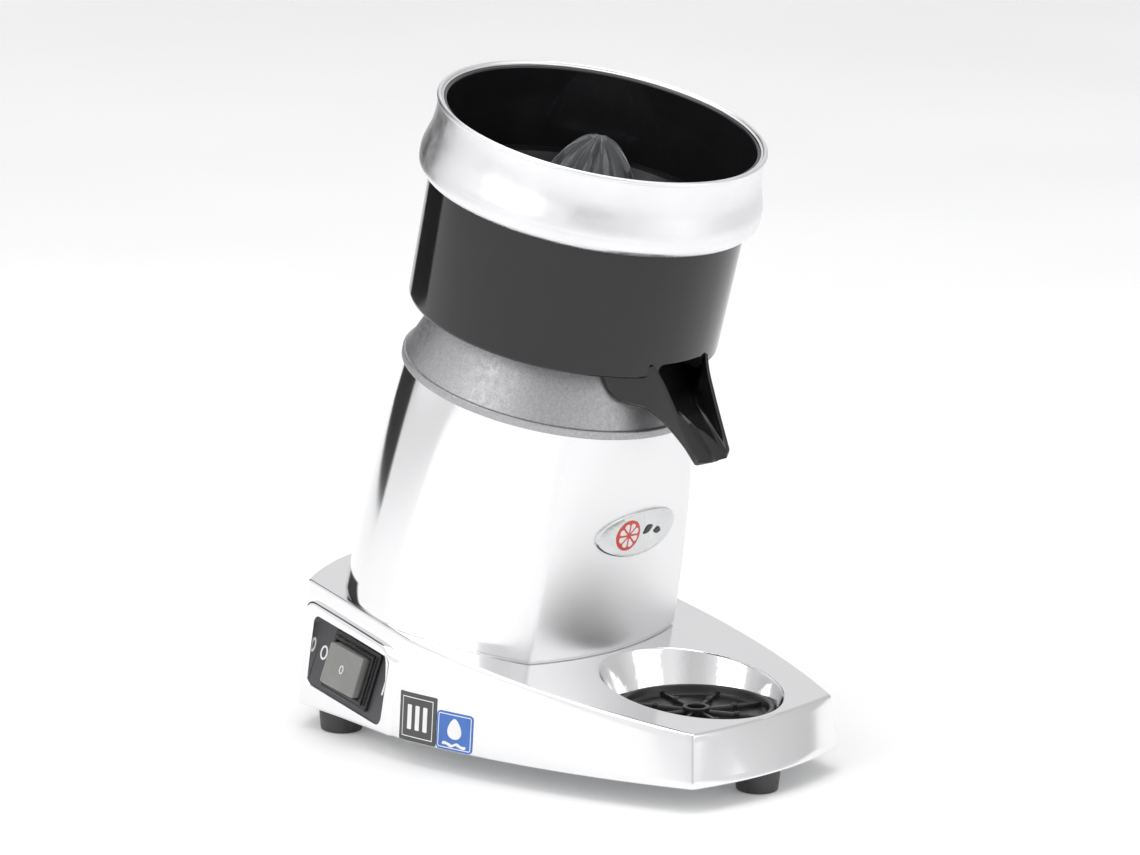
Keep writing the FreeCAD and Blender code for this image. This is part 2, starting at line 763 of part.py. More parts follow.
def bracket(seat_w, cup_up):
    """Pressed end bracket: a disc, a rim onto the stator, and a bearing cup."""
    disc = ring(stator_r, bearing_r, seat_w, bracket_sheet)
    rim_low = stator_top_w if cup_up else seat_w
    rim_high = seat_w + bracket_sheet if cup_up else stator_w
    rim = ring(stator_r, winding_r + 1.0, rim_low, rim_high - rim_low)
    cup_low = seat_w if cup_up else seat_w + bracket_sheet - bearing_width
    cup = ring(bearing_r + bracket_sheet, bearing_r, cup_low, bearing_width)
    body = disc.fuse([rim, cup])
    for turn in bracket_windows:
        window = Part.makeBox(2 * stator_r, bracket_window, rim_high - rim_low - 2 * bracket_sheet,
                              V(winding_r - 6.0, -bracket_window / 2, rim_low + bracket_sheet))
        window.rotate(ORIGIN, Z_AXIS, turn)
        body = body.cut(window)
    hole = Part.makeCylinder(tie_bolt_r, 4 * stator_height, V(0, 0, rim_low - stator_height))
    holes = spread(hole, tie_bolt_circle_r, tie_bolt_turns)
    return body.cut(Part.makeCompound(holes))


def stator_core():
    """Laminated ring with slots for the windings."""
    body = ring(stator_r, rotor_r + air_gap, stator_w, stator_height)
    slot = Part.makeBox(slot_length, slot_width, stator_height + 2 * cut_margin,
                        V(0, -slot_width / 2, stator_w - cut_margin))
    body = body.cut(Part.makeCompound(spread(slot, rotor_r + air_gap - 1.0, range(0, 360, slot_pitch))))
    hole = Part.makeCylinder(tie_bolt_r, stator_height + 2 * cut_margin, V(0, 0, stator_w - cut_margin))
    holes = spread(hole, tie_bolt_circle_r, tie_bolt_turns)
    return body.cut(Part.makeCompound(holes))


def winding(low_w):
    """Rounded bundle of end turns."""
    section_r = winding_height / 2
    inner_r = rotor_r + air_gap + coil_gap
    outer_r = winding_r - coil_gap / 2
    middle = (inner_r + outer_r) / 2
    half_width = (outer_r - inner_r) / 2
    steps = 16
    profile = []
    for step in range(steps):
        angle = 2 * math.pi * step / steps
        height = low_w + section_r + section_r * math.sin(angle)
        profile.append((middle + half_width * math.cos(angle), height))
    return turned_solid(profile)


def tie_bolts():
    """Four long screws that clamp the brackets onto the stator."""
    low = lower_bracket_w - tie_bolt_head
    high = plate_top_w
    shank = Part.makeCylinder(tie_bolt_r, high - low, V(0, 0, low))
    head = Part.makeCylinder(2 * tie_bolt_r, tie_bolt_head, V(0, 0, low))
    nut = Part.makeCylinder(2 * tie_bolt_r, tie_bolt_head, V(0, 0, high))
    return Part.makeCompound(spread(shank.fuse([head, nut]), tie_bolt_circle_r, tie_bolt_turns))


def mounting_plate():
    """Disc that hangs the motor under the collar."""
    body = ring(plate_r, bearing_r + bracket_sheet + 1.0, plate_top_w - plate_sheet, plate_sheet)
    hole = Part.makeCylinder(collar_screw_r, 4 * plate_sheet, V(0, 0, plate_top_w - 2 * plate_sheet))
    holes = spread(hole, collar_screw_circle_r, collar_screw_turns)
    hole = Part.makeCylinder(tie_bolt_r, 4 * plate_sheet, V(0, 0, plate_top_w - 2 * plate_sheet))
    holes += spread(hole, tie_bolt_circle_r, tie_bolt_turns)
    return body.cut(Part.makeCompound(holes))


def plate_screws():
    """Four screws through the mounting plate into the collar's bosses."""
    low = plate_top_w - plate_sheet - collar_screw_head
    shank = Part.makeCylinder(collar_screw_r, collar_screw_length, V(0, 0, low))
    head = Part.makeCylinder(1.8 * collar_screw_r, collar_screw_head, V(0, 0, low))
    return Part.makeCompound(spread(shank.fuse(head), collar_screw_circle_r, collar_screw_turns))


def bearing(low_w):
    """Sealed ball bearing drawn as one ring with grooved faces."""
    body = ring(bearing_r, shaft_r + running_gap, low_w, bearing_width)
    groove = ring(bearing_r - 2.0, shaft_r + 2.5, low_w - 1.0, 1.6)
    return body.cut(groove).cut(groove.translated(V(0, 0, bearing_width + 0.4)))


def shaft_seal():
    """Rubber lip seal in the top of the collar's tube."""
    low = tube_top_w
    high = low + seal_height
    bore_r = shaft_r + running_gap
    return turned_solid([(collar_tube_r, low), (collar_tube_r, high), (bore_r, high), (bore_r, low)])


def rotor():
    """Rotor core with its end rings."""
    body = ring(rotor_r, shaft_r, stator_w, stator_height)
    lower = ring(rotor_r - end_ring_out, rotor_r - end_ring_in, stator_w - end_ring, end_ring)
    upper = ring(rotor_r - end_ring_out, rotor_r - end_ring_in, stator_top_w, end_ring)
    return body.fuse([lower, upper])


def motor_shaft():
    """Stepless shaft with a cross hole for the drive pin and a rounded top."""
    body = Part.makeCylinder(shaft_r, shaft_top_w - shaft_bottom_w, V(0, 0, shaft_bottom_w))
    body = body.makeChamfer(1.0, [body.Edges[0], body.Edges[2]])
    hole = Part.makeCylinder(drive_pin_r, 4 * shaft_r, V(-2 * shaft_r, 0, drive_pin_w), X_AXIS)
    return body.cut(hole)


def drive_pin():
    return Part.makeCylinder(drive_pin_r, 2 * drive_pin_half, V(-drive_pin_half, 0, drive_pin_w), X_AXIS)


def slinger():
    """Rubber disc that throws stray juice off the shaft."""
    return ring(slinger_r, shaft_r, tube_top_w + seal_height + 0.5, slinger_sheet)


def cooling_fan():
    """Fan under the motor: a hub, a disc and straight blades."""
    low = shaft_bottom_w + 2.0
    hub_out = shaft_r + fan_hub_wall
    body = ring(hub_out, shaft_r, low, fan_height + 1.0).fuse(ring(fan_r, shaft_r, low, fan_disc))
    blade = Part.makeBox(fan_r - hub_out - 1.0, fan_blade, fan_height, V(0, -fan_blade / 2, low))
    turns = [360.0 * step / fan_blades for step in range(fan_blades)]
    return body.fuse(spread(blade, hub_out - 1.0, turns))


# ---- bowl and what stands in it -------------------------------------------------------
bowl_top_w = band_top_w - bowl_rim_drop


def bowl_outer_r(w):
    """Outside radius of the bowl's tapered wall."""
    share = (w - bowl_bottom_w) / (bowl_top_w - bowl_bottom_w)
    return bowl_r_bottom + (bowl_r_top - bowl_r_bottom) * share


def bowl_profile_solid(shrink, low_w, high_w):
    """Tapered cup with a rounded lower edge, as a filled solid."""
    edge = max(bowl_edge_r - shrink, 0.5)
    low_r = bowl_outer_r(low_w) - shrink
    high_r = bowl_outer_r(high_w) - shrink
    mid = edge * (1 - math.sin(math.radians(45)))
    edges = [
        Part.makeLine(V(0, 0, low_w), V(low_r - edge, 0, low_w)),
        arc(V(low_r - edge, 0, low_w), V(low_r - mid, 0, low_w + mid), V(low_r, 0, low_w + edge)),
        Part.makeLine(V(low_r, 0, low_w + edge), V(high_r, 0, high_w)),
        Part.makeLine(V(high_r, 0, high_w), V(0, 0, high_w)),
        Part.makeLine(V(0, 0, high_w), V(0, 0, low_w)),
    ]
    return Part.Face(Part.Wire(edges)).revolve(ORIGIN, Z_AXIS, 360)


def spout_section(v, half_low, half_high, floor_w, top_w):
    """Four-sided outline across the spout at a distance in front of the axis."""
    corners = [(-half_high, top_w), (-half_low, floor_w), (half_low, floor_w), (half_high, top_w)]
    points = [V(x, -v, w) for x, w in corners]
    return Part.makePolygon(points + points[:1])


def spout_block(shrink, root_v, tip_v):
    """Filled spout, from inside the bowl to its tip."""
    tip_top = spout_tip_w + spout_lip_height
    run = spout_tip_v - (bowl_r_bottom - 6.0)
    floor_slope = (spout_floor_root_w - spout_tip_w) / run
    top_slope_w = (spout_apex_w - tip_top) / run
    half_slope = (spout_root_half - spout_tip_half) / run
    sections = []
    for v in (root_v, tip_v):
        back = spout_tip_v - v
        half = spout_tip_half + half_slope * back - shrink
        sections.append(spout_section(v, half * 0.82, half, spout_tip_w + floor_slope * back + shrink,
                                      tip_top + top_slope_w * back + (cut_margin if shrink else 0)))
    return Part.makeLoft(sections, True, True)


def bowl():
    """Black bowl with a central tube, a strainer ledge, a spout and its outlet."""
    outer = bowl_profile_solid(0.0, bowl_bottom_w, bowl_top_w)
    inner = bowl_profile_solid(bowl_wall, bowl_bottom_w + bowl_floor, bowl_top_w)
    body = outer.cut(inner)
    body = body.fuse(ring(chimney_r + chimney_wall, 0, bowl_bottom_w, chimney_top_w - bowl_bottom_w))
    seat_r = bowl_outer_r(strainer_seat_w) - bowl_wall
    ledge = turned_solid([(seat_r + 0.5, strainer_seat_w), (seat_r - strainer_lip, strainer_seat_w),
                          (seat_r + 0.5, strainer_seat_w - 2 * strainer_lip)])
    root_v = bowl_r_bottom - spout_root_inset
    spout = spout_block(0.0, root_v, spout_tip_v).cut(inner)
    spout = spout.cut(bowl_profile_solid(0.5, bowl_bottom_w + 0.5, bowl_top_w))
    body = body.fuse([ledge, spout])
    channel = spout_block(spout_wall, root_v + 2 * spout_wall, spout_tip_v + cut_margin)
    body = body.cut(channel)
    return leaning(body.cut(Part.makeCylinder(chimney_r, 80.0, V(0, 0, bowl_bottom_w - 20.0))))


def splash_band():
    """Spun aluminium band with a rolled rim, a neck and a low bulge."""
    height = band_top_w - band_bottom_w
    inside = bowl_outer_r(bowl_top_w) + seat_gap
    sheet = band_sheet
    outside = [
        (band_bulge_r - 1.9, band_bottom_w), (band_bulge_r - 0.5, band_bottom_w + 0.07 * height),
        (band_bulge_r, band_bottom_w + 0.16 * height), (band_bulge_r - 0.3, band_bottom_w + 0.26 * height),
        (band_bulge_r - 1.4, band_bottom_w + 0.38 * height), (inside + sheet, band_bottom_w + 0.52 * height),
        (inside + sheet, band_top_w - 4.0), (inside + sheet + 1.2, band_top_w - 2.6),
        (inside + sheet + 1.2, band_top_w - 1.0), (inside + sheet, band_top_w),
    ]
    inner = [
        (inside - 1.0, band_top_w), (inside - 1.0, bowl_top_w), (inside, bowl_top_w),
        (inside, band_bottom_w + 0.50 * height), (band_bulge_r - 1.4 - sheet, band_bottom_w + 0.36 * height),
        (band_bulge_r - sheet, band_bottom_w + 0.17 * height), (band_bulge_r - 1.9 - sheet, band_bottom_w),
    ]
    return leaning(turned_solid(outside + inner))


def strainer():
    """Pressed steel basket with a flat rim, a cone and a pierced floor."""
    rim_r = bowl_outer_r(strainer_seat_w) - bowl_wall - slip_gap
    wall_r = rim_r - strainer_lip - slip_gap
    t = strainer_sheet
    hole_r = chimney_r + chimney_wall + slip_gap + 1.0
    seat = strainer_seat_w
    profile = [
        (rim_r, seat), (rim_r, seat + t), (wall_r - t, seat + t),
        (strainer_floor_r - t, strainer_floor_w + t),
        (hole_r, strainer_floor_w + t), (hole_r, strainer_floor_w), (strainer_floor_r, strainer_floor_w),
        (wall_r, seat),
    ]
    body = turned_solid(profile)
    holes = []
    for row, radius in enumerate(strainer_hole_rows):
        count = strainer_first_row + strainer_row_step * row
        hole = Part.makeCylinder(strainer_hole_r, 4 * t, V(0, 0, strainer_floor_w - t))
        holes += spread(hole, radius, [360.0 * (step + 0.5 * (row % 2)) / count for step in range(count)])
    return leaning(body.cut(Part.makeCompound(holes)))


def drive_hub():
    """Bush with a slot that drops over the shaft and its cross pin."""
    low = reamer_base_w + 1.0
    body = ring(hub_r, 0, low, hub_height + hub_roof)
    body = body.cut(Part.makeCylinder(shaft_r + slip_gap, hub_height - 1.0, V(0, 0, low)))
    slot_half = drive_pin_half + slip_gap
    slot_wide = 2 * (drive_pin_r + slip_gap)
    slot = Part.makeBox(2 * slot_half, slot_wide, drive_pin_w + drive_pin_r + slip_gap - low,
                        V(-slot_half, -slot_wide / 2, low))
    return leaning(body.cut(slot))


def reamer_outline(w, radius):
    """Closed star of rounded ribs at one height."""
    points = []
    steps = 8 * reamer_ribs
    for step in range(steps):
        angle = 2 * math.pi * step / steps
        depth = min(reamer_rib_depth, radius * 0.3)
        reach = radius - depth * (0.5 - 0.5 * math.cos(reamer_ribs * angle))
        points.append(V(reach * math.cos(angle), reach * math.sin(angle), w))
    return Part.makePolygon(points + points[:1])


def reamer():
    """Ribbed cone on a thin round skirt, hollow below for the drive hub."""
    low = reamer_base_w + reamer_skirt_lift
    height = reamer_tip_w - low
    levels = [0.0, 0.2, 0.4, 0.6, 0.8, 0.93, 1.0]
    sections = []
    for share in levels:
        radius = (reamer_r - reamer_skirt_width) * math.sqrt(max(1.0 - share ** 1.25, 0.0)) + 0.8
        sections.append(reamer_outline(low + height * share, radius))
    cone = Part.makeLoft(sections, True, True)
    thick = 2 * reamer_skirt
    skirt = turned_solid([(reamer_r, low), (reamer_r, low + reamer_skirt),
                          (reamer_r - 2 * reamer_skirt_width, low + thick), (0, low + thick), (0, low)])
    body = cone.fuse(skirt)
    bore_top = reamer_base_w + 1.0 + hub_height + hub_roof + slip_gap
    body = body.cut(Part.makeCylinder(hub_r + seat_gap, bore_top - low + 1.0, V(0, 0, low - 1.0)))
    inner_r = hub_r + 3.0
    outer_r = reamer_r - 10.0
    hollow = turned_solid([(inner_r, low - 1.0), (outer_r, low - 1.0), (outer_r - 4.0, low + 12.0),
                           (inner_r, low + 18.0)])
    return leaning(body.cut(hollow))


# ---- switch ---------------------------------------------------------------------------


def switch_panel():
    """Dark leaning plate in the pod, with a window for the switch."""
    body = rounded_box(panel_length, panel_height, panel_sink, panel_sink + panel_sheet, panel_corner_r)
    return on_panel(body.cut(panel_box(switch_length + slip_gap, switch_height + slip_gap, 0, 2 * pod_depth)))


def rocker_pocket(y_low, y_high):
    """Room for the rocker's swing."""
    return panel_box(rocker_length + 2 * rocker_play, rocker_height + 2 * rocker_side_play, y_low, y_high)


def switch_bezel():
    """Stepped black frame round the rocker."""
    body = panel_box(bezel_length, bezel_height, panel_sink - bezel_proud / 2, panel_sink)
    body = body.fuse(panel_box(bezel_length - 2 * bezel_step, bezel_height - 2 * bezel_step,
                               panel_sink - bezel_proud, panel_sink))
    return on_panel(body.cut(rocker_pocket(-pod_depth, pod_depth)))


def switch_body():
    """Closed case behind the bezel, with the rocker's pocket, pin holes and two blade terminals."""
    low = panel_sink
    body = panel_box(switch_length, switch_height, low, low + switch_depth)
    body = body.cut(rocker_pocket(low - 1.0, low + rocker_pocket_depth))
    for x in (-blade_x, blade_x):
        body = body.fuse(Part.makeBox(*blade_size, V(x, low + switch_depth - 1.0, -blade_size[2] / 2)))
    half = rocker_pin_half()
    return on_panel(body.cut(Part.makeCylinder(rocker_pin_r, 2 * half, rocker_pivot - V(0, 0, half))))


rocker_pivot = V(0, panel_sink + rocker_pin_depth, 0)
paddle_face = panel_sink - bezel_proud - rocker_stand


def rocker_pin_half():
    """Half the pin's length: it ends inside the case's side walls."""
    return (rocker_height + switch_height) / 4 + rocker_side_play / 2


def rocker():
    """Paddle on a pin, with its off side pressed in."""
    body = panel_box(rocker_length, rocker_height, paddle_face, panel_sink + rocker_body)
    stem = panel_box(rocker_length / 2, rocker_height - 2.0, panel_sink + rocker_body,
                     panel_sink + rocker_body + rocker_stem)
    half = rocker_pin_half() - running_gap
    pin = Part.makeCylinder(rocker_pin_r - running_gap, 2 * half, rocker_pivot - V(0, 0, half))
    body = body.fuse([stem, pin])
    body.rotate(rocker_pivot, Z_AXIS, rocker_swing)
    return on_panel(body)


def rocker_boot():
    """Clear grey cap pressed over the paddle."""
    body = panel_box(rocker_length + 2 * boot_sheet, rocker_height + 2 * boot_sheet, paddle_face - boot_sheet,
                     paddle_face + rocker_stand + boot_overlap)
    body = body.cut(panel_box(rocker_length, rocker_height, paddle_face, pod_depth))
    body.rotate(rocker_pivot, Z_AXIS, rocker_swing)
    return on_panel(body)


# ---- electrics -------------------------------------------------------------------------


capacitor_y = axis_y - capacitor_from_axis
capacitor_x = right_x - capacitor_from_flank


def on_roof(shape, x, y):
    """Hangs a shape made below z = 0 from the underside of the base's sloping top."""
    placed = shape.copy()
    placed.rotate(ORIGIN, X_AXIS, top_slope)
    placed.translate(V(x, y, top_z(y) - base_wall / math.cos(math.radians(top_slope))))
    return placed


def capacitor():
    end = V(0, -capacitor_length / 2, -capacitor_r - strap_sheet)
    body = Part.makeCylinder(capacitor_r, capacitor_length, end, Y_AXIS)
    return on_roof(body, capacitor_x, capacitor_y)


def capacitor_strap():
    """Steel strap that holds the capacitor under the base's top."""
    r = capacitor_r + strap_sheet
    strap = Part.makeCylinder(r, strap_width, V(0, -strap_width / 2, -r), Y_AXIS)
    reach = r + strap_tab
    tabs = Part.makeBox(2 * reach, strap_width, strap_sheet, V(-reach, -strap_width / 2, -strap_sheet))
    posts = Part.makeBox(2 * r, strap_width, r, V(-r, -strap_width / 2, -r))
    body = strap.fuse([tabs, posts])
    body = body.cut(Part.makeCylinder(capacitor_r, 4 * strap_width, V(0, -2 * strap_width, -r), Y_AXIS))
    return on_roof(body, capacitor_x, capacitor_y)


def terminal_block():
    """Screw terminal strip on the underside of the base's top."""
    length, width, height = terminal_size
    body = Part.makeBox(length, width, height, V(-length / 2, -width / 2, -height))
    for step in range(3):
        x = (step - 1) * length / 3
        body = body.cut(Part.makeCylinder(terminal_hole_r, terminal_hole_depth, V(x, 0, -height)))
    return on_roof(body, terminal_x, axis_y - terminal_from_axis)


def cable_gland():
    """Flanged bush in the rear wall where the mains lead enters."""
    body = Part.makeCylinder(inlet_r, gland_length, V(inlet_x, gland_y, inlet_z), V(0, -1, 0))
    body = body.fuse(Part.makeCylinder(gland_flange_r, gland_flange, V(inlet_x, gland_y, inlet_z), Y_AXIS))
    bore = Part.makeCylinder(inlet_r - gland_wall, gland_length + 2 * gland_flange,
                             V(inlet_x, gland_y + gland_flange, inlet_z), V(0, -1, 0))
    return body.cut(bore)


# ---- badge and labels ---------------------------------------------------------------------


def oval(half_long, half_high):
    """Flat oval face in the XZ plane."""
    curve = Part.Ellipse(ORIGIN, half_long, half_high)
    face = Part.Face(Part.Wire(curve.toShape()))
    face.rotate(ORIGIN, X_AXIS, 90)
    return face


def badge():
    """Oval plate that follows the front facet."""
    w = housing_top_w - badge_drop
    prism = oval(badge_half_length, badge_half_height).extrude(V(0, -2 * housing_front_v, 0))
    prism.translate(V(0, 0, w))
    outer = housing_block(-badge_sheet, 0.0)
    return leaning(prism).common(outer).cut(housing_block(0.0, 0.0))


def flank_label(step):
    """Thin square label on the left flank in front of the pod."""
    y = widest_y + label_start - sum(label_lengths[:step + 1]) - label_gap * step
    slab = Part.makeBox(base_width, label_lengths[step], label_heights[step],
                        V(-base_width, y, foot_height + label_lift))
    skin = base_block(-label_sheet, foot_height, 0.0)
    return slab.common(skin).cut(base_block(0.0, foot_height, 0.0))


def build():
    os.makedirs("parts", exist_ok=True)
    export("base_casting", base_casting())
    export("base_cover", base_cover())
    export("cover_screws", cover_screws())
    for name, (x, y) in feet_at.items():
        export(name, foot(x, y))
    export("foot_screws", foot_screws())
    export("glass_tray", tray())
    export("motor_housing", motor_housing())
    export("housing_screws", housing_screws())
    export("collar", collar())
    export("lower_bracket", leaning(bracket(lower_bracket_w, False)))
    export("upper_bracket", leaning(bracket(upper_bracket_w, True)))
    export("stator_core", leaning(stator_core()))
    export("lower_winding", leaning(winding(stator_w - winding_height)))
    export("upper_winding", leaning(winding(stator_top_w)))
    export("tie_bolts", leaning(tie_bolts()))
    export("mounting_plate", leaning(mounting_plate()))
    export("plate_screws", leaning(plate_screws()))
    export("lower_bearing", leaning(bearing(lower_bracket_w + bracket_sheet - bearing_width)))
    export("upper_bearing", leaning(bearing(upper_bracket_w)))
    export("shaft_seal", leaning(shaft_seal()))
    export("rotor", leaning(rotor()))
    export("motor_shaft", leaning(motor_shaft()))
    export("drive_pin", leaning(drive_pin()))
    export("slinger", leaning(slinger()))
    export("cooling_fan", leaning(cooling_fan()))
    export("bowl", bowl())
    export("splash_band", splash_band())
    export("strainer", strainer())
    export("drive_hub", drive_hub())
    export("reamer", reamer())
    export("switch_panel", switch_panel())
    export("switch_bezel", switch_bezel())
    export("switch_body", switch_body())
    export("rocker", rocker())
    export("rocker_boot", rocker_boot())
    export("capacitor", capacitor())
    export("capacitor_strap", capacitor_strap())
    export("terminal_block", terminal_block())
    export("cable_gland", cable_gland())
    export("badge", badge())
    export("dark_label", flank_label(0))
    export("blue_label", flank_label(1))


build()
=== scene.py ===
import json
import math

import bmesh
import bpy
import numpy as np
from mathutils import Matrix, Vector


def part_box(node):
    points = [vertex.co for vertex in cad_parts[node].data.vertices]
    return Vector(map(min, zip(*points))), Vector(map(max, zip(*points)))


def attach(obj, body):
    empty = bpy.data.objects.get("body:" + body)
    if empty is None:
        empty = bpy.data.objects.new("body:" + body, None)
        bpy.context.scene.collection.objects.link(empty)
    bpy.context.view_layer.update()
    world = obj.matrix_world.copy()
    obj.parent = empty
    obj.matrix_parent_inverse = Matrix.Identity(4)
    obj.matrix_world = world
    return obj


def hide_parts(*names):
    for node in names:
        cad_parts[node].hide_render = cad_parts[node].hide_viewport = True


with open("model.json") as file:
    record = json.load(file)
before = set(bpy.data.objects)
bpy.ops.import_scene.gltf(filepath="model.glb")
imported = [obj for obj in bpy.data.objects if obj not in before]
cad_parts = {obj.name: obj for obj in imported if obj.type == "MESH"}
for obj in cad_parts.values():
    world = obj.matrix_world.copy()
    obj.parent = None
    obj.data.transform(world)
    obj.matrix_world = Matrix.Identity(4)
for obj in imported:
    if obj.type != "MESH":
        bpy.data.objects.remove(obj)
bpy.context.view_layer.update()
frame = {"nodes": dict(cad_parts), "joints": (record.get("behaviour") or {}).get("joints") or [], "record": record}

bl_info = {
    "name": "Citrus press",
    "version": (1, 0, 0),
    "blender": (4, 5, 0),
    "location": "View3D > Sidebar > Citrus press",
    "description": "Builds the finished shells, covers and finishes of a leaning citrus press",
    "category": "Object",
}

# Shapes are worked out in millimetres and become metres when they are placed.
MM = 0.001
TURN = 2 * math.pi
JOINT = {joint["name"]: joint for joint in frame["joints"]}

# The leaning frame: across the object, behind the axis, and along the axis from the table.
ACROSS = np.array([1.0, 0.0, 0.0])
ALONG = np.array(JOINT["bowl_lift"]["axis"], float)
BEHIND = np.array([0.0, ALONG[2], -ALONG[1]])
ON_AXIS = np.array(JOINT["shaft_spin"]["pos_m"], float)
AXIS_FOOT = ON_AXIS - ALONG * (ON_AXIS[2] / ALONG[2])
LEAN = math.atan2(-ALONG[1], ALONG[2])


def node_mm(node):
    """Lowest and highest corners of a CAD node, in millimetres."""
    low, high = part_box(node)
    return np.array(low) / MM, np.array(high) / MM


BASE_LOW, BASE_HIGH = node_mm("base_casting")
TRAY_LOW, TRAY_HIGH = node_mm("glass_tray")


def length(name, text, millimetres):
    """A length property whose default is given in millimetres."""
    return bpy.props.FloatProperty(
        name=name, description=text, default=millimetres * MM, unit="LENGTH", subtype="DISTANCE",
        precision=4
    )


def angle(name, text, degrees):
    """An angle property whose default is given in degrees."""
    return bpy.props.FloatProperty(
        name=name, description=text, default=math.radians(degrees), unit="ROTATION", subtype="ANGLE"
    )


def colour(name, text, value):
    """A linear colour property."""
    return bpy.props.FloatVectorProperty(
        name=name, description=text, default=value, size=3, min=0.0, max=1.0, subtype="COLOR"
    )


class JuicerBase(bpy.types.PropertyGroup):
    """Sizes of the cast base."""

    front_edge: length("Front edge height", "Top face above the table at the front edge", 38.1)
    slope: angle("Slope", "Rise of the top face towards the rear", 9.0)
    front_half: length("Front half width", "Half the width of the front face", 59.0)
    front_bow: length("Front bow", "How far the front face bulges", 8.3)
    widest: length("Widest place", "Distance of the widest place from the rear end", 106.0)
    tail: length("Tail depth", "Bow of the rear face", 17.5)
    tail_half: length("Tail half width", "Half the width where the rear face starts", 75.3)
    edge: length("Edge rounding", "Rounding of the polished edges", 1.4)
    recess: length("Recess radius", "Radius of the glass recess at its rim", 48.0)
    well: length("Well radius", "Radius of the recess at its floor", 41.0)
    wall: length("Wall", "Thickness of the casting", 3.0)


class JuicerPod(bpy.types.PropertyGroup):
    """Sizes of the switch pod and its panel."""

    span: length("Pod length", "Length of the pod forwards from the rear corner", 78.0)
    proud: length("Pod relief", "How far the pod stands out at its foot", 2.0)
    drop: length("Pod drop", "Top of the pod below the top face of the base", 9.5)
    panel_long: length("Panel length", "Length of the sunk panel", 64.0)
    panel_high: length("Panel height", "Height of the sunk panel", 37.5)
    panel_at: length("Panel place", "Middle of the panel, forwards from the rear corner", 42.0)
    panel_up: length("Panel height over the table", "Height of the panel's middle", 39.0)
    pod_lean: angle("Pod lean", "Lean of the pod's face", 1.0)
    panel_lean: angle("Panel lean", "Lean of the panel", 13.0)
    panel_roll: angle("Panel roll", "Drop of the panel towards the front", 8.5)


class JuicerBody(bpy.types.PropertyGroup):
    """Sizes of the motor housing, the collar and the bowl, along the leaning axis."""

    housing_top: length("Housing top", "Top of the housing along the axis", 195.6)
    housing_round: length("Housing radius", "Radius of the housing at its top", 76.0)
    collar_round: length("Collar radius", "Radius of the collar's rim", 78.4)
    bowl_foot: length("Bowl foot", "Underside of the bowl along the axis", 230.3)
    bowl_low: length("Bowl radius below", "Outside radius of the bowl at its foot", 81.0)
    bowl_high: length("Bowl radius above", "Outside radius of the bowl at its rim", 83.2)
    band_foot: length("Band foot", "Lower edge of the splash band along the axis", 299.8)
    band_top: length("Band top", "Rim of the splash band along the axis", 339.5)
    band_bulge: length("Band bulge", "Outside radius of the band's bulge", 89.2)
    reamer_round: length("Reamer radius", "Radius of the reamer's skirt", 37.0)
    ribs: bpy.props.IntProperty(name="Reamer ribs", description="Ribs round the reamer", default=12, min=6)


class JuicerColours(bpy.types.PropertyGroup):
    """Colours of the finishes."""

    polish: colour("Polished metal", "Polished casting", (0.87, 0.87, 0.875))
    satin: colour("Satin metal", "Spun splash band", (0.86, 0.86, 0.87))
    cast: colour("Raw casting", "Collar as it was cast", (0.42, 0.42, 0.43))
    black: colour("Black plastic", "Bowl, spout and tray", (0.010, 0.010, 0.011))
    smoke: colour("Smoked plastic", "Reamer", (0.30, 0.31, 0.33))
    rubber: colour("Rubber", "Feet", (0.045, 0.045, 0.047))
    accent: colour("Badge accent", "Fruit on the badge", (0.62, 0.07, 0.05))
    blue: colour("Blue label", "Second label", (0.055, 0.155, 0.48))


class JuicerStage(bpy.types.PropertyGroup):
    """Camera and light."""

    azimuth: angle("Azimuth", "Direction of view round the object", -49.66)
    elevation: angle("Elevation", "Height of the view over the horizon", 12.99)
    roll: angle("Roll", "Turn of the camera about its own view", 1.35)
    distance: bpy.props.FloatProperty(
        name="Distance", description="Camera to the object", default=3.7687, unit="LENGTH",
        subtype="DISTANCE"
    )
    lens: bpy.props.FloatProperty(name="Lens", description="Focal length in millimetres", default=230.6)
    target: bpy.props.FloatVectorProperty(
        name="Target", description="Point in the middle of the view", default=(-0.0029, 0.0029, 0.1684),
        subtype="TRANSLATION", unit="LENGTH", precision=4
    )


GROUPS = {
    "juicer_base": JuicerBase,
    "juicer_pod": JuicerPod,
    "juicer_body": JuicerBody,
    "juicer_colours": JuicerColours,
    "juicer_stage": JuicerStage,
}


class Sizes:
    """Reads a property group's lengths in millimetres and its angles in radians."""

    def __init__(self, group):
        self.group = group

    def __getattr__(self, name):
        value = getattr(self.group, name)
        is_length = self.group.bl_rna.properties[name].unit == "LENGTH"
        return value / MM if is_length else value


# ---- placing ------------------------------------------------------------------------------


def upright(points):
    """Millimetres in the object's own frame to metres."""
    return np.asarray(points, float) * MM


def leaning(points):
    """Points (across, behind, along) of the leaning frame to metres in the object's frame."""
    p = np.asarray(points, float) * MM
    return AXIS_FOOT + p[..., :1] * ACROSS + p[..., 1:2] * BEHIND + p[..., 2:3] * ALONG


# ---- shapes -------------------------------------------------------------------------------


def grid_shape(grid, wrap_rows=False, wrap_columns=True, caps=False):
    """Points and faces of a grid (rows, columns, 3): quads join neighbours, caps close the end rows."""
    rows, columns = grid.shape[:2]
    index = np.arange(rows * columns).reshape(rows, columns)
    ends = [index[0, ::-1].tolist(), index[-1].tolist()] if caps else []
    if wrap_rows:
        index = np.vstack([index, index[:1]])
    if wrap_columns:
        index = np.hstack([index, index[:, :1]])
    quads = np.stack([index[:-1, :-1], index[:-1, 1:], index[1:, 1:], index[1:, :-1]], -1).reshape(-1, 4)
    return grid.reshape(-1, 3), quads.tolist() + ends


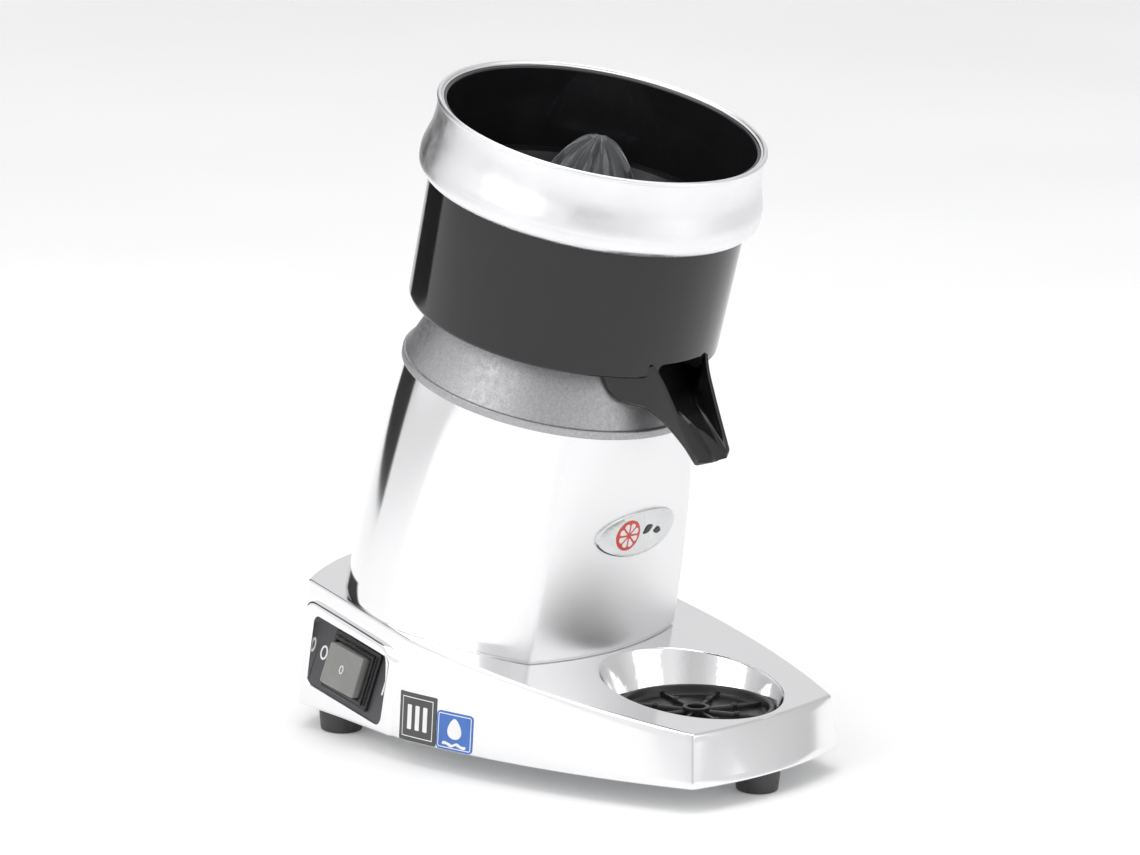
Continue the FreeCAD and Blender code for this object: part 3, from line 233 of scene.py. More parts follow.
def together(*shapes):
    """Several closed shapes as one."""
    points = np.concatenate([shape[0] for shape in shapes])
    starts = np.cumsum([0] + [len(shape[0]) for shape in shapes[:-1]])
    faces = [(np.array(face) + start).tolist() for shape, start in zip(shapes, starts) for face in shape[1]]
    return points, faces


def placed(shape, place):
    """A shape put through a placing function."""
    return place(shape[0]), shape[1]


def softened(points, cut, steps=5):
    """Closed outline whose corners become parabolas: B(t) = (1-t)^2 A + 2t(1-t) corner + t^2 B,
    where A and B lie the cut length before and after the corner."""
    p = np.asarray(points, float)
    before = np.roll(p, 1, 0) - p
    after = np.roll(p, -1, 0) - p
    size_b = np.linalg.norm(before, axis=1)
    size_a = np.linalg.norm(after, axis=1)
    take = np.minimum(np.broadcast_to(cut, len(p)), 0.47 * np.minimum(size_a, size_b))
    a = p + before * (take / size_b)[:, None]
    b = p + after * (take / size_a)[:, None]
    t = np.linspace(0, 1, steps)[None, :, None]
    curve = (1 - t) ** 2 * a[:, None] + 2 * t * (1 - t) * p[:, None] + t ** 2 * b[:, None]
    return curve.reshape(-1, p.shape[1])


def lathe(profile, steps=160):
    """Closed profile of (radius, height) turned about Z: (r cos a, r sin a, h), a over a full turn."""
    profile = np.asarray(profile, float)
    a = np.arange(steps) * TURN / steps
    grid = np.empty((len(profile), steps, 3))
    grid[..., 0] = profile[:, :1] * np.cos(a)
    grid[..., 1] = profile[:, :1] * np.sin(a)
    grid[..., 2] = profile[:, 1:]
    return grid_shape(grid, wrap_rows=True)


def moved(shape, x=0.0, y=0.0, z=0.0, turn=0.0):
    """A shape turned about Z and then shifted."""
    c, s = math.cos(turn), math.sin(turn)
    p = shape[0] @ np.array([[c, s, 0.0], [-s, c, 0.0], [0.0, 0.0, 1.0]])
    return p + np.array([x, y, z]), shape[1]


def arc_points(a, middle, b, t):
    """Points at shares t of the circular arc through a, middle and b, for a whole stack of arcs."""
    if middle is None:
        return a[:, None] + (b - a)[:, None] * t[..., None]
    ax, ay, mx, my, bx, by = a[:, 0], a[:, 1], middle[:, 0], middle[:, 1], b[:, 0], b[:, 1]
    d = 2 * (ax * (my - by) + mx * (by - ay) + bx * (ay - my))
    aa, mm, bb = ax ** 2 + ay ** 2, mx ** 2 + my ** 2, bx ** 2 + by ** 2
    cx = (aa * (my - by) + mm * (by - ay) + bb * (ay - my)) / d
    cy = (aa * (bx - mx) + mm * (ax - bx) + bb * (mx - ax)) / d
    start = np.arctan2(ay - cy, ax - cx)
    sweep = (np.arctan2(by - cy, bx - cx) - start + math.pi) % TURN - math.pi
    turn = start[:, None] + sweep[:, None] * t
    radius = np.hypot(ax - cx, ay - cy)[:, None]
    return np.stack([cx[:, None] + radius * np.cos(turn), cy[:, None] + radius * np.sin(turn)], -1)


def loop(edges, counts, cut, steps=4):
    """Closed loops made of arcs (start, middle, end), a stack at once, with a parabola of the cut
    length over every joint."""
    parts = []
    for (a, middle, b), count in zip(edges, counts):
        span = np.linalg.norm(b - a, axis=1, keepdims=True)
        trim = np.minimum(cut / span, 0.3)
        parts.append(arc_points(a, middle, b, trim + (1 - 2 * trim) * np.linspace(0, 1, count)[None]))
    t = np.linspace(0, 1, steps + 2)[1:-1][None, :, None]
    row = []
    for part, following, edge in zip(parts, parts[1:] + parts[:1], edges):
        corner = edge[2][:, None]
        bend = (1 - t) ** 2 * part[:, -1:] + 2 * t * (1 - t) * corner + t ** 2 * following[:, :1]
        row += [part, bend]
    return np.concatenate(row, 1)


def bend_rows(a, edge, b, steps=5):
    """Rows of a rounded edge: parabola from row a to row b with the sharp edge as its control."""
    t = np.linspace(0, 1, steps)[:, None, None]
    return (1 - t) ** 2 * a + 2 * t * (1 - t) * edge + t ** 2 * b


def smooth_through(knots, values, x):
    """Cubic Hermite curve through the knots with slopes from neighbouring differences."""
    knots, values, x = (np.asarray(q, float) for q in (knots, values, x))
    slope = np.gradient(values, knots)
    i = np.clip(np.searchsorted(knots, x) - 1, 0, len(knots) - 2)
    h = knots[i + 1] - knots[i]
    t = (x - knots[i]) / h
    first = (1 + 2 * t) * (1 - t) ** 2 * values[i] + t * (1 - t) ** 2 * h * slope[i]
    return first + t ** 2 * (3 - 2 * t) * values[i + 1] - t ** 2 * (1 - t) * h * slope[i + 1]


def rounded_rect(long, high, corner, steps=7):
    """Closed outline of a rectangle with quarter-circle corners, centred, in (x, z)."""
    corner = max(min(corner, 0.49 * long, 0.49 * high), 0.05)
    a = np.linspace(0, math.pi / 2, steps)
    quarter = corner * np.stack([np.cos(a), np.sin(a)], -1)
    sides = []
    for k in range(4):
        c, s = round(math.cos(k * math.pi / 2)), round(math.sin(k * math.pi / 2))
        centre = np.array([(c - s) * 0.5, (s + c) * 0.5])
        centre = np.sign(centre) * np.array([long / 2 - corner, high / 2 - corner])
        sides.append(centre + quarter @ np.array([[c, s], [-s, c]]))
    return np.concatenate(sides)


def rect_rows(long, high, corner, profile):
    """Rows of a frame: the rounded rectangle drawn in by each (inset, depth) of the profile."""
    rows = []
    for inset, depth in profile:
        ring = rounded_rect(long - 2 * inset, high - 2 * inset, corner - inset)
        rows.append(np.stack([ring[:, 0], np.full(len(ring), depth), ring[:, 1]], -1))
    return np.stack(rows)


def radius_at(outline, turns):
    """Distance of a star-shaped closed outline from the origin in each direction."""
    a = np.arctan2(outline[:, 1], outline[:, 0])
    order = np.argsort(a)
    return np.interp(turns, a[order], np.hypot(outline[:, 0], outline[:, 1])[order], period=TURN)


# ---- pieces -------------------------------------------------------------------------------


def clean(mesh):
    """Merges doubles, drops collapsed faces and turns every face outwards."""
    bm = bmesh.new()
    bm.from_mesh(mesh)
    bmesh.ops.remove_doubles(bm, verts=bm.verts, dist=1e-6)
    bmesh.ops.dissolve_degenerate(bm, edges=bm.edges, dist=1e-7)
    bmesh.ops.recalc_face_normals(bm, faces=bm.faces)
    bm.to_mesh(mesh)
    bm.free()


SHARP = 35.0                # degrees; an edge that turns more than this is kept crisp


def shade(mesh, sharp):
    """Smooth shading with edges sharper than an angle in degrees kept crisp."""
    mesh.polygons.foreach_set("use_smooth", np.ones(len(mesh.polygons), bool))
    mesh.set_sharp_from_angle(angle=math.radians(sharp))


def piece(name, shape, body, slot, finish=None, replaces=(), sharp=SHARP):
    """Makes a shape in metres into an object that rides on a body and takes a slot's finish."""
    mesh = bpy.data.meshes.new(name)
    mesh.from_pydata(shape[0].tolist(), [], shape[1])
    clean(mesh)
    shade(mesh, sharp)
    made = bpy.data.objects.new(name, mesh)
    bpy.context.scene.collection.objects.link(made)
    made.data.materials.append(finish_of(finish or slot))
    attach(made, body)
    if replaces:
        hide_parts(*replaces)
    return made


def baked(made):
    """Applies a piece's modifiers to its mesh."""
    made.modifiers.update()
    graph = bpy.context.evaluated_depsgraph_get()
    mesh = bpy.data.meshes.new_from_object(made.evaluated_get(graph))
    mesh.name = made.name
    made.modifiers.clear()
    made.data = mesh
    shade(mesh, SHARP)
    return made


def cut_out(made, shape):
    """Cuts a closed shape in metres out of a piece."""
    mesh = bpy.data.meshes.new("cutter")
    mesh.from_pydata(shape[0].tolist(), [], shape[1])
    clean(mesh)
    cutter = bpy.data.objects.new("cutter", mesh)
    bpy.context.scene.collection.objects.link(cutter)
    change = made.modifiers.new("cut", "BOOLEAN")
    change.operation = "DIFFERENCE"
    change.solver = "EXACT"
    change.object = cutter
    baked(made)
    bpy.data.objects.remove(cutter)


# ---- finishes -----------------------------------------------------------------------------


class Nodes:
    """Short calls for building a material's nodes."""

    def __init__(self, name):
        self.material = bpy.data.materials.new(name)
        self.material.use_nodes = True
        self.tree = self.material.node_tree
        self.shader = self.tree.nodes["Principled BSDF"]
        self.object = self.tree.nodes.new("ShaderNodeTexCoord").outputs["Object"]

    def add(self, kind, **values):
        node = self.tree.nodes.new(kind)
        for key, value in values.items():
            if key in node.inputs:
                node.inputs[key].default_value = value
            else:
                setattr(node, key, value)
        return node

    def link(self, output, target):
        self.tree.links.new(output, target)

    def noise(self, scale, detail=3.0, rough=0.5, turn=0.0, stretch=(1.0, 1.0, 1.0)):
        """Noise on object coordinates, turned about X and stretched."""
        mapping = self.add("ShaderNodeMapping")
        mapping.inputs["Rotation"].default_value = (turn, 0.0, 0.0)
        mapping.inputs["Scale"].default_value = stretch
        self.link(self.object, mapping.inputs["Vector"])
        noise = self.add("ShaderNodeTexNoise", Scale=scale, Detail=detail, Roughness=rough)
        self.link(mapping.outputs["Vector"], noise.inputs["Vector"])
        return noise.outputs["Fac"]

    def spread(self, value, low, high, target, start=0.3, end=0.7):
        """Maps a noise value onto a socket's range."""
        node = self.add("ShaderNodeMapRange")
        for key, number in zip(("From Min", "From Max", "To Min", "To Max"), (start, end, low, high)):
            node.inputs[key].default_value = number
        self.link(value, node.inputs["Value"])
        self.link(node.outputs["Result"], target)

    def tint(self, value, dark, light, start=0.35, end=0.65):
        """Colour between two shades by a noise value."""
        ramp = self.add("ShaderNodeValToRGB")
        ramp.color_ramp.elements[0].position = start
        ramp.color_ramp.elements[1].position = end
        ramp.color_ramp.elements[0].color = (*dark, 1.0)
        ramp.color_ramp.elements[1].color = (*light, 1.0)
        self.link(value, ramp.inputs["Fac"])
        self.link(ramp.outputs["Color"], self.shader.inputs["Base Color"])

    def bump(self, value, strength, depth):
        """Surface relief, depth in millimetres."""
        node = self.add("ShaderNodeBump", Strength=strength, Distance=depth * MM)
        self.link(value, node.inputs["Height"])
        normal = self.shader.inputs["Normal"]
        if normal.is_linked:
            self.link(normal.links[0].from_socket, node.inputs["Normal"])
        self.link(node.outputs["Normal"], normal)


def shades(base, share):
    """A darker and a lighter shade of a colour."""
    return tuple(c * (1 - share) for c in base), tuple(min(c * (1 + share), 1.0) for c in base)


def metal(name, base, rough, grain=0.0, grain_size=900.0, mottle=0.03, mottle_size=30.0):
    """Metal with a slow change of shade and gloss and an optional grain."""
    n = Nodes(name)
    n.shader.inputs["Metallic"].default_value = 1.0
    slow = n.noise(mottle_size, 4.0, 0.6)
    n.tint(slow, *shades(base, mottle))
    n.spread(n.noise(mottle_size * 3, 3.0), rough * 0.8, rough * 1.25, n.shader.inputs["Roughness"])
    if grain:
        n.bump(n.noise(grain_size, 5.0, 0.65), grain, 0.05)
    return n


def plastic(name, base, rough, grain=0.0, grain_size=1500.0, coat=0.0, mottle=0.08):
    """Moulded plastic or rubber with a fine skin."""
    n = Nodes(name)
    n.tint(n.noise(60.0, 4.0, 0.6), *shades(base, mottle))
    n.spread(n.noise(180.0, 4.0), rough * 0.85, rough * 1.2, n.shader.inputs["Roughness"])
    n.shader.inputs["Coat Weight"].default_value = coat
    n.shader.inputs["Coat Roughness"].default_value = 0.05
    if grain:
        n.bump(n.noise(grain_size, 4.0, 0.6), grain, 0.04)
    return n


def polished(name, base):
    """Hand-polished casting: near mirror, with the faint waviness of buffing."""
    n = metal(name, base, 0.13, mottle=0.012, mottle_size=12.0)
    n.bump(n.noise(9.0, 2.0, 0.4), 0.25, 0.5)
    return n


def buffed_front(name, base):
    """Housing: near mirror on the flanks, and a softer buffing on the flat front."""
    n = polished(name, base)
    dot = n.add("ShaderNodeVectorMath", operation="DOT_PRODUCT")
    dot.inputs[1].default_value = BEHIND
    n.link(n.object, dot.inputs[0])
    middle = float(AXIS_FOOT @ BEHIND)
    n.spread(dot.outputs["Value"], 0.46, 0.11, n.shader.inputs["Roughness"], middle - 0.068, middle - 0.052)
    return n


def recess_metal(name, base):
    """The recess is polished less and keeps the hammered skin of the casting."""
    n = metal(name, base, 0.10, mottle=0.02)
    n.bump(n.noise(260.0, 3.0, 0.5), 0.35, 0.25)
    return n


def spun(name, base):
    """Spun sheet: fine rings round the leaning axis and a soft satin gloss."""
    n = metal(name, base, 0.36, mottle=0.02)
    n.bump(n.noise(2600.0, 3.0, 0.7, LEAN, (0.004, 0.004, 1.0)), 0.25, 0.02)
    n.bump(n.noise(160.0, 3.0, 0.5, LEAN, (0.12, 0.12, 1.0)), 0.12, 0.10)
    return n


def raw_cast(name, base):
    """Unpolished casting: mottled grey with dark specks and a grainy skin."""
    n = Nodes(name)
    n.shader.inputs["Metallic"].default_value = 0.85
    dark, light = shades(base, 0.22)
    n.tint(n.noise(850.0, 8.0, 0.75), dark, light, 0.30, 0.66)
    n.spread(n.noise(300.0, 6.0, 0.7), 0.36, 0.58, n.shader.inputs["Roughness"])
    n.bump(n.noise(1100.0, 6.0, 0.7), 0.25, 0.08)
    return n


def smoked(name, base):
    """Smoked clear plastic."""
    n = plastic(name, base, 0.06, mottle=0.05)
    n.shader.inputs["Transmission Weight"].default_value = 0.82
    n.shader.inputs["IOR"].default_value = 1.49
    return n


def boot_skin(name, base):
    """Milky grey silicone."""
    n = plastic(name, base, 0.34, 0.2, 1200.0, 0.15, 0.06)
    n.shader.inputs["Transmission Weight"].default_value = 0.25
    n.shader.inputs["Subsurface Weight"].default_value = 0.15
    n.shader.inputs["Subsurface Radius"].default_value = (0.002, 0.002, 0.002)
    return n


def wound(name, base):
    """Lacquered copper turns round the leaning axis."""
    n = metal(name, base, 0.28, mottle=0.15, mottle_size=120.0)
    n.bump(n.noise(1400.0, 2.0, 0.5, LEAN, (0.05, 0.05, 1.0)), 0.6, 0.25)
    return n


def layered(name, base):
    """Stacked steel sheets seen from their edges."""
    n = metal(name, base, 0.42, mottle=0.10)
    n.bump(n.noise(2200.0, 1.0, 0.5, LEAN, (0.01, 0.01, 1.0)), 0.6, 0.12)
    return n


def finish_table():
    """Makers of every finish by name: the record's slots, and the marks on labels and badge."""
    c = bpy.context.scene.juicer_colours
    return {
        "polished_aluminium": lambda k: polished(k, tuple(c.polish)),
        "housing_polish": lambda k: buffed_front(k, tuple(c.polish)),
        "recess_polish": lambda k: recess_metal(k, tuple(c.polish)),
        "satin_aluminium": lambda k: spun(k, tuple(c.satin)),
        "raw_casting": lambda k: raw_cast(k, tuple(c.cast)),
        "bowl_black": lambda k: plastic(k, tuple(c.black), 0.09, 0.03, 400.0, 0.0),
        "tray_black": lambda k: plastic(k, tuple(c.black), 0.32, 0.15, 900.0),
        "smoked_plastic": lambda k: smoked(k, tuple(c.smoke)),
        "strainer_steel": lambda k: metal(k, (0.035, 0.035, 0.037), 0.34, 0.25, 1400.0),
        "sheet_steel": lambda k: metal(k, (0.56, 0.57, 0.58), 0.38, 0.3, 700.0, 0.10, 90.0),
        "zinc_steel": lambda k: metal(k, (0.52, 0.52, 0.50), 0.32, 0.2, 1200.0, 0.08),
        "lamination_steel": lambda k: layered(k, (0.22, 0.22, 0.23)),
        "bearing_steel": lambda k: metal(k, (0.68, 0.68, 0.69), 0.14, 0.12, 2400.0),
        "copper_winding": lambda k: wound(k, (0.62, 0.26, 0.11)),
        "foot_rubber": lambda k: plastic(k, tuple(c.rubber), 0.55, 0.5, 1100.0, mottle=0.15),
        "panel_black": lambda k: plastic(k, (0.060, 0.060, 0.064), 0.34, 0.25, 1400.0),
        "switch_black": lambda k: plastic(k, (0.016, 0.016, 0.017), 0.24, 0.2, 1600.0),
        "boot_clear": lambda k: boot_skin(k, (0.30, 0.30, 0.29)),
        "fan_plastic": lambda k: plastic(k, (0.10, 0.10, 0.11), 0.45, 0.25),
        "capacitor_case": lambda k: plastic(k, (0.74, 0.74, 0.71), 0.40, 0.15),
        "terminal_plastic": lambda k: plastic(k, (0.78, 0.77, 0.72), 0.42, 0.15),
        "badge_metal": lambda k: metal(k, (0.66, 0.67, 0.67), 0.24, 0.15, 1800.0, 0.04, 60.0),
        "label_dark": lambda k: plastic(k, (0.070, 0.070, 0.070), 0.42, 0.12, 2000.0),
        "label_blue": lambda k: plastic(k, tuple(c.blue), 0.40, 0.12, 2000.0),
        "mark_white": lambda k: plastic(k, (0.82, 0.82, 0.81), 0.45, 0.05, 2000.0, mottle=0.03),
        "mark_dark": lambda k: plastic(k, (0.025, 0.025, 0.028), 0.40, 0.05, 2000.0),
        "mark_red": lambda k: plastic(k, tuple(c.accent), 0.40, 0.05, 2000.0),
    }


def finish_of(name):
    """The material of that name, made at its first use."""
    found = bpy.data.materials.get("finish_" + name)
    return found or finish_table()[name]("finish_" + name).material


# ---- base ---------------------------------------------------------------------------------

UNDERSIDE = 12.0            # the base's underside above the table
DRAFTS = {"side": 2.0, "corner": 3.5, "front": 8.5, "rear": 3.0}
RECESS_LAND = 3.6           # top face left in front of the recess
WELL_SHIFT = 3.5            # the well's floor is this much nearer the front than the rim
CUP_FLOOR = 0.6             # thickness of the recess's floor
BASE_REAR = 140.0
BASE_FRONT = -BASE_REAR


def top_z(y, base):
    """Height of the sloping top face along the base."""
    return base.front_edge + math.tan(base.slope) * (y - BASE_FRONT)


def base_loops(base, walls, drafted):
    """Outlines of the base, one for each wall inset; drafted ones are those of the top edge.
    Every outline is four arcs and two straight runs: front, flank, run, rear, run, flank."""
    walls = np.asarray(walls, float)
    top = np.asarray(drafted, float)
    side = walls + top * DRAFTS["side"]
    corner = walls + top * DRAFTS["corner"]
    front = walls + top * DRAFTS["front"]
    rear = walls + top * DRAFTS["rear"]
    wide_y = np.full_like(walls, BASE_REAR - base.widest)
    corner_x = base.front_half - corner
    corner_y = BASE_FRONT + base.front_bow + corner
    tail_x = base.tail_half - side
    tail_y = BASE_REAR - base.tail - rear

    def at(x, y):
        return np.stack([x + 0 * walls, y + 0 * walls], -1)

    def flank(half):
        across = half - corner_x
        along = wide_y - corner_y
        radius = (across ** 2 + along ** 2) / (2 * across)
        turn = np.arcsin(along / radius) / 2
        return half - radius * (1 - np.cos(turn)), wide_y - radius * np.sin(turn)

    right = BASE_HIGH[0] - side
    left = -BASE_LOW[0] - side
    right_x, right_y = flank(right)
    left_x, left_y = flank(left)
    edges = [
        (at(-corner_x, corner_y), at(0, BASE_FRONT + front), at(corner_x, corner_y)),
        (at(corner_x, corner_y), at(right_x, right_y), at(right, wide_y)),
        (at(right, wide_y), None, at(tail_x, tail_y)),
        (at(tail_x, tail_y), at(0, BASE_REAR - rear), at(-tail_x, tail_y)),
        (at(-tail_x, tail_y), None, at(-left, wide_y)),
        (at(-left, wide_y), at(-left_x, left_y), at(-corner_x, corner_y)),
    ]
    return loop(edges, (40, 48, 16, 28, 16, 48), base.edge * 0.8)


def with_height(ring, height):
    """Plan points with a height."""
    column = np.asarray(height, float).reshape(-1, 1)
    return np.concatenate([ring, np.broadcast_to(column, (len(ring), 1))], 1)


def base_skin(base):
    """Outer skin of the base in one grid: foot edge, drafted wall, rounded top edge, sloping top,
    rounded rim of the recess and its skewed cone down to the level floor."""
    inset = (0.0, 1.6, 0.0, base.edge, base.edge + 0.4)
    foot, foot_in, top, top_in, land = base_loops(base, inset, (0, 0, 1, 1, 1))
    foot = with_height(foot, UNDERSIDE)
    foot_in = with_height(foot_in, UNDERSIDE)
    top, top_in, land = (with_height(r, top_z(r[:, 1], base)) for r in (top, top_in, land))
    rise = np.linalg.norm(top - foot, axis=1, keepdims=True)
    low = foot + (top - foot) * (base.edge / rise)
    high = top - (top - foot) * (base.edge / rise)
    wall = low + (high - low) * np.linspace(0, 1, 9)[:, None, None]
    cos_s, sin_s = math.cos(base.slope), math.sin(base.slope)
    recess_y = BASE_FRONT + DRAFTS["front"] + RECESS_LAND + base.recess * cos_s
    turn = np.arctan2((land[:, 1] - recess_y) / cos_s, land[:, 0])
    ray = np.stack([np.cos(turn), np.sin(turn) * cos_s, np.sin(turn) * sin_s], -1)
    centre = np.array([0.0, recess_y, top_z(recess_y, base)])
    rim = centre + ray * base.recess
    floor = np.stack([base.well * np.cos(turn), recess_y - WELL_SHIFT + base.well * np.sin(turn),
                      np.full(len(turn), TRAY_LOW[2])], -1)
    drop = 1.2 / np.linalg.norm(floor - rim, axis=1, keepdims=True)
    lip = bend_rows(centre + ray * (base.recess + 1.0), rim, rim + (floor - rim) * drop)
    cone = rim + (floor - rim) * (drop + (1 - drop) * np.linspace(0, 1, 8)[1:, None, None])
    support = centre + ray * (base.recess + 1.4)
    rows = [bend_rows(foot_in, foot, low), wall[1:-1], bend_rows(high, top, top_in), land[None]]
    shell = np.concatenate(rows + [support[None], lip[:2]])
    well = np.concatenate([lip[1:], cone])
    return shell, well


class JUICER_OT_base(bpy.types.Operator):
    """Polished base with the recess for the glass and the switch pod"""

    bl_idname = "juicer.base"
    bl_label = "Base"

    def execute(self, context):
        base = Sizes(context.scene.juicer_base)
        pod = Sizes(context.scene.juicer_pod)
        shell, well = base_skin(base)
        made = piece("base_shell", grid_shape(upright(shell)), "root", "polished_aluminium",
                     replaces=["base_casting"])
        thick = made.modifiers.new("wall", "SOLIDIFY")
        thick.thickness = base.wall * MM
        thick.offset = -1.0
        baked(made)
        window = rect_rows(pod.panel_long + 2.0, pod.panel_high + 2.0, 5.0, [(0.0, -14.0), (0.0, 16.0)])
        cut_out(made, grid_shape(on_panel(window, pod), caps=True))
        outward = well - well[-1:].mean(1, keepdims=True)
        outward[..., 2] = 0.0
        outward /= np.linalg.norm(outward, axis=2, keepdims=True)
        back = well + outward * base.wall - np.array([0.0, 0.0, CUP_FLOOR])
        cup = grid_shape(upright(np.concatenate([back[::-1], well])), caps=True)
        piece("recess_cup", cup, "root", "polished_aluminium", "recess_polish")
        piece("pod_frame", pod_shape(base, pod), "root", "polished_aluminium", replaces=["base_casting"])
        return {"FINISHED"}


# ---- switch pod ---------------------------------------------------------------------------

POD_FADE = (4.0, 9.5)       # length over which the pod's front fades into the flank, foot and top
POD_BACK = 14.0             # depth of the pod's back
POD_STEPS = 300
PANEL_SINK = 0.8            # the panel's depth at its lower edge


def pod_directions(base):
    """Direction forwards along the rear flank and outwards from it, and the rear corner."""
    wide = np.array([BASE_LOW[0], BASE_REAR - base.widest, 0.0])
    tail = np.array([-base.tail_half, BASE_REAR - base.tail, 0.0])
    forwards = (wide - tail) / np.linalg.norm(wide - tail)
    outwards = np.array([forwards[1], -forwards[0], 0.0])
    return forwards, outwards, tail


def pod_matrix(pod):
    """Place of the pod's frame: X forwards along the flank, Y into the casting, Z up its face."""
    base = Sizes(bpy.context.scene.juicer_base)
    forwards, outwards, tail = pod_directions(base)
    rise = pod.panel_up - UNDERSIDE
    middle = tail + forwards * pod.span / 2 + outwards * (pod.proud - rise * math.tan(pod.pod_lean))
    turn = math.atan2(forwards[1], forwards[0])
    place = Matrix.Translation(Vector((middle[0], middle[1], pod.panel_up)))
    return place @ Matrix.Rotation(turn, 4, "Z") @ Matrix.Rotation(-pod.pod_lean, 4, "X")


def panel_matrix(pod):
    """Place of the panel's frame inside the pod's: leaning back from its lower edge, and rolled."""
    edge = Matrix.Translation(Vector((0.0, 0.0, -pod.panel_high / 2)))
    lean = edge @ Matrix.Rotation(pod.pod_lean - pod.panel_lean, 4, "X") @ edge.inverted()
    shift = Matrix.Translation(Vector((pod.panel_at - pod.span / 2, 0.0, 0.0)))
    return shift @ Matrix.Rotation(pod.panel_roll, 4, "Y") @ lean


def through(matrix, points):
    """Points put through a matrix."""
    m = np.array(matrix)
    return np.asarray(points, float) @ m[:3, :3].T + m[:3, 3]


def on_pod(points, pod):
    """Pod frame in millimetres to metres."""
    return upright(through(pod_matrix(pod), points))


def on_panel(points, pod):
    """Panel frame in millimetres to metres."""
    return upright(through(pod_matrix(pod) @ panel_matrix(pod), points))


def pod_shape(base, pod):
    """Pod as a closed ring: for each direction round the window's middle the section runs from the
    back, over the rounded outer edge, across the face, over the window's edge and down its side."""
    forwards, _, tail = pod_directions(base)
    half = pod.span / 2
    flat = np.zeros(POD_STEPS)
    rear_y, front_y = tail[1], (tail + forwards * pod.span)[1]
    top_rear = top_z(rear_y, base) - pod.drop - pod.panel_up
    top_front = top_z(front_y, base) - pod.drop - pod.panel_up
    foot = UNDERSIDE - pod.panel_up
    panel_x = pod.panel_at - half
    corners = [(-half, foot), (half, foot), (half, top_front), (4.0 - half, top_rear)]
    outer = softened(corners, (2.0, 1.2, 9.0, 9.0), 9) - np.array([panel_x, 0.0])
    window = rounded_rect(pod.panel_long + 0.6, pod.panel_high + 0.6, 4.3)
    c, s = math.cos(pod.panel_roll), math.sin(pod.panel_roll)
    window = window @ np.array([[c, -s], [s, c]])
    dense = np.arange(4096) / 4096 * TURN
    reach = radius_at(outer_dense(outer), dense)
    inner = radius_at(outer_dense(window), dense)
    weight = reach + inner
    share = np.cumsum(weight) / weight.sum()
    turns = np.interp(np.arange(POD_STEPS) / POD_STEPS, share, dense)
    ray = np.stack([np.cos(turns), np.sin(turns)], -1)
    outer_r = np.interp(turns, dense, reach)
    inner_r = np.interp(turns, dense, inner)
    edge, fillet = 2.6, 0.9

    def row(radius, depth, fade=0.0):
        plan = ray * radius[:, None]
        x = plan[:, 0] + panel_x
        z = plan[:, 1]
        rise = np.clip((z - foot) / (top_front - foot), 0, 1)
        reach_on = POD_FADE[0] + (POD_FADE[1] - POD_FADE[0]) * rise
        x = x + fade * np.clip((x - half + 7.0) / 7.0, 0, 1) * reach_on
        return np.stack([x, depth + 0 * x, z], -1)

    side = row(outer_r, flat + edge, 0.5)
    corner = row(outer_r, flat)
    face = row(outer_r - edge, flat)
    inner_z = (ray * inner_r[:, None])[:, 1]
    depth = PANEL_SINK + (inner_z + pod.panel_high / 2) * math.tan(pod.panel_lean - pod.pod_lean)
    depth = np.maximum(depth, 0.4)
    drawn = inner_r * (1 - 0.004 * depth)
    sill = row(inner_r + fillet, flat)
    rim = row(inner_r, flat)
    start = np.minimum(fillet, depth * 0.5)
    below = row(inner_r, start)
    floor = row(drawn, depth + 1.0)
    rows = [row(outer_r, flat + POD_BACK, 1.0)[None], row(outer_r, flat + 4.6, 1.0)[None],
            bend_rows(side, corner, face, 7), row(outer_r - edge - 0.3, flat)[None],
            row(inner_r + fillet + 0.3, flat)[None], bend_rows(sill, rim, below, 5),
            floor[None], row(drawn, flat + POD_BACK)[None]]
    return grid_shape(on_pod(np.concatenate(rows), pod), wrap_rows=True)


def outer_dense(outline, count=24):
    """The same outline with points added along its edges."""
    following = np.roll(outline, -1, 0)
    t = (np.arange(count) / count)[None, :, None]
    return (outline[:, None] + (following - outline)[:, None] * t).reshape(-1, 2)


BEZEL = (39.0, 32.0)
BEZEL_PROUD = 4.5
PADDLE = (24.4, 20.4)
PADDLE_STAND = 4.2          # the rocker's face stands this far out of the bezel
BOOT_SHEET = 0.8
PIN_DEPTH = 4.0             # the rocker's pin behind the panel
SWING = math.radians(5.0)


def paddle_turn(points):
    """Turns points of the panel's frame about the rocker's pin, to its resting side."""
    c, s = math.cos(SWING), math.sin(SWING)
    p = np.asarray(points, float).copy()
    depth = p[..., 1] - PANEL_SINK - PIN_DEPTH
    x = p[..., 0].copy()
    p[..., 0] = c * x - s * depth
    p[..., 1] = s * x + c * depth + PANEL_SINK + PIN_DEPTH
    return p


def oval_ring(half_long, half_high, width, low, high, steps=48):
    """Flat ring with a rounded top, in the panel's frame."""
    a = np.arange(steps) * TURN / steps
    inset = np.array([0.0, 0.0, 0.1, width - 0.1, width, width])[:, None]
    depth = np.array([low, high + 0.08, high, high, high + 0.08, low])[:, None]
    grid = [(half_long - inset) * np.cos(a), depth + 0 * a, (half_high - inset) * np.sin(a)]
    return grid_shape(np.stack(grid, -1), wrap_rows=True)


def bar(long, high, low, top, corner=0.3):
    """Small flat bar with softened upper edges, in the panel's frame."""
    profile = [(0.0, low), (0.0, top + 0.1), (0.12, top)]
    return grid_shape(rect_rows(long, high, corner, profile), caps=True)


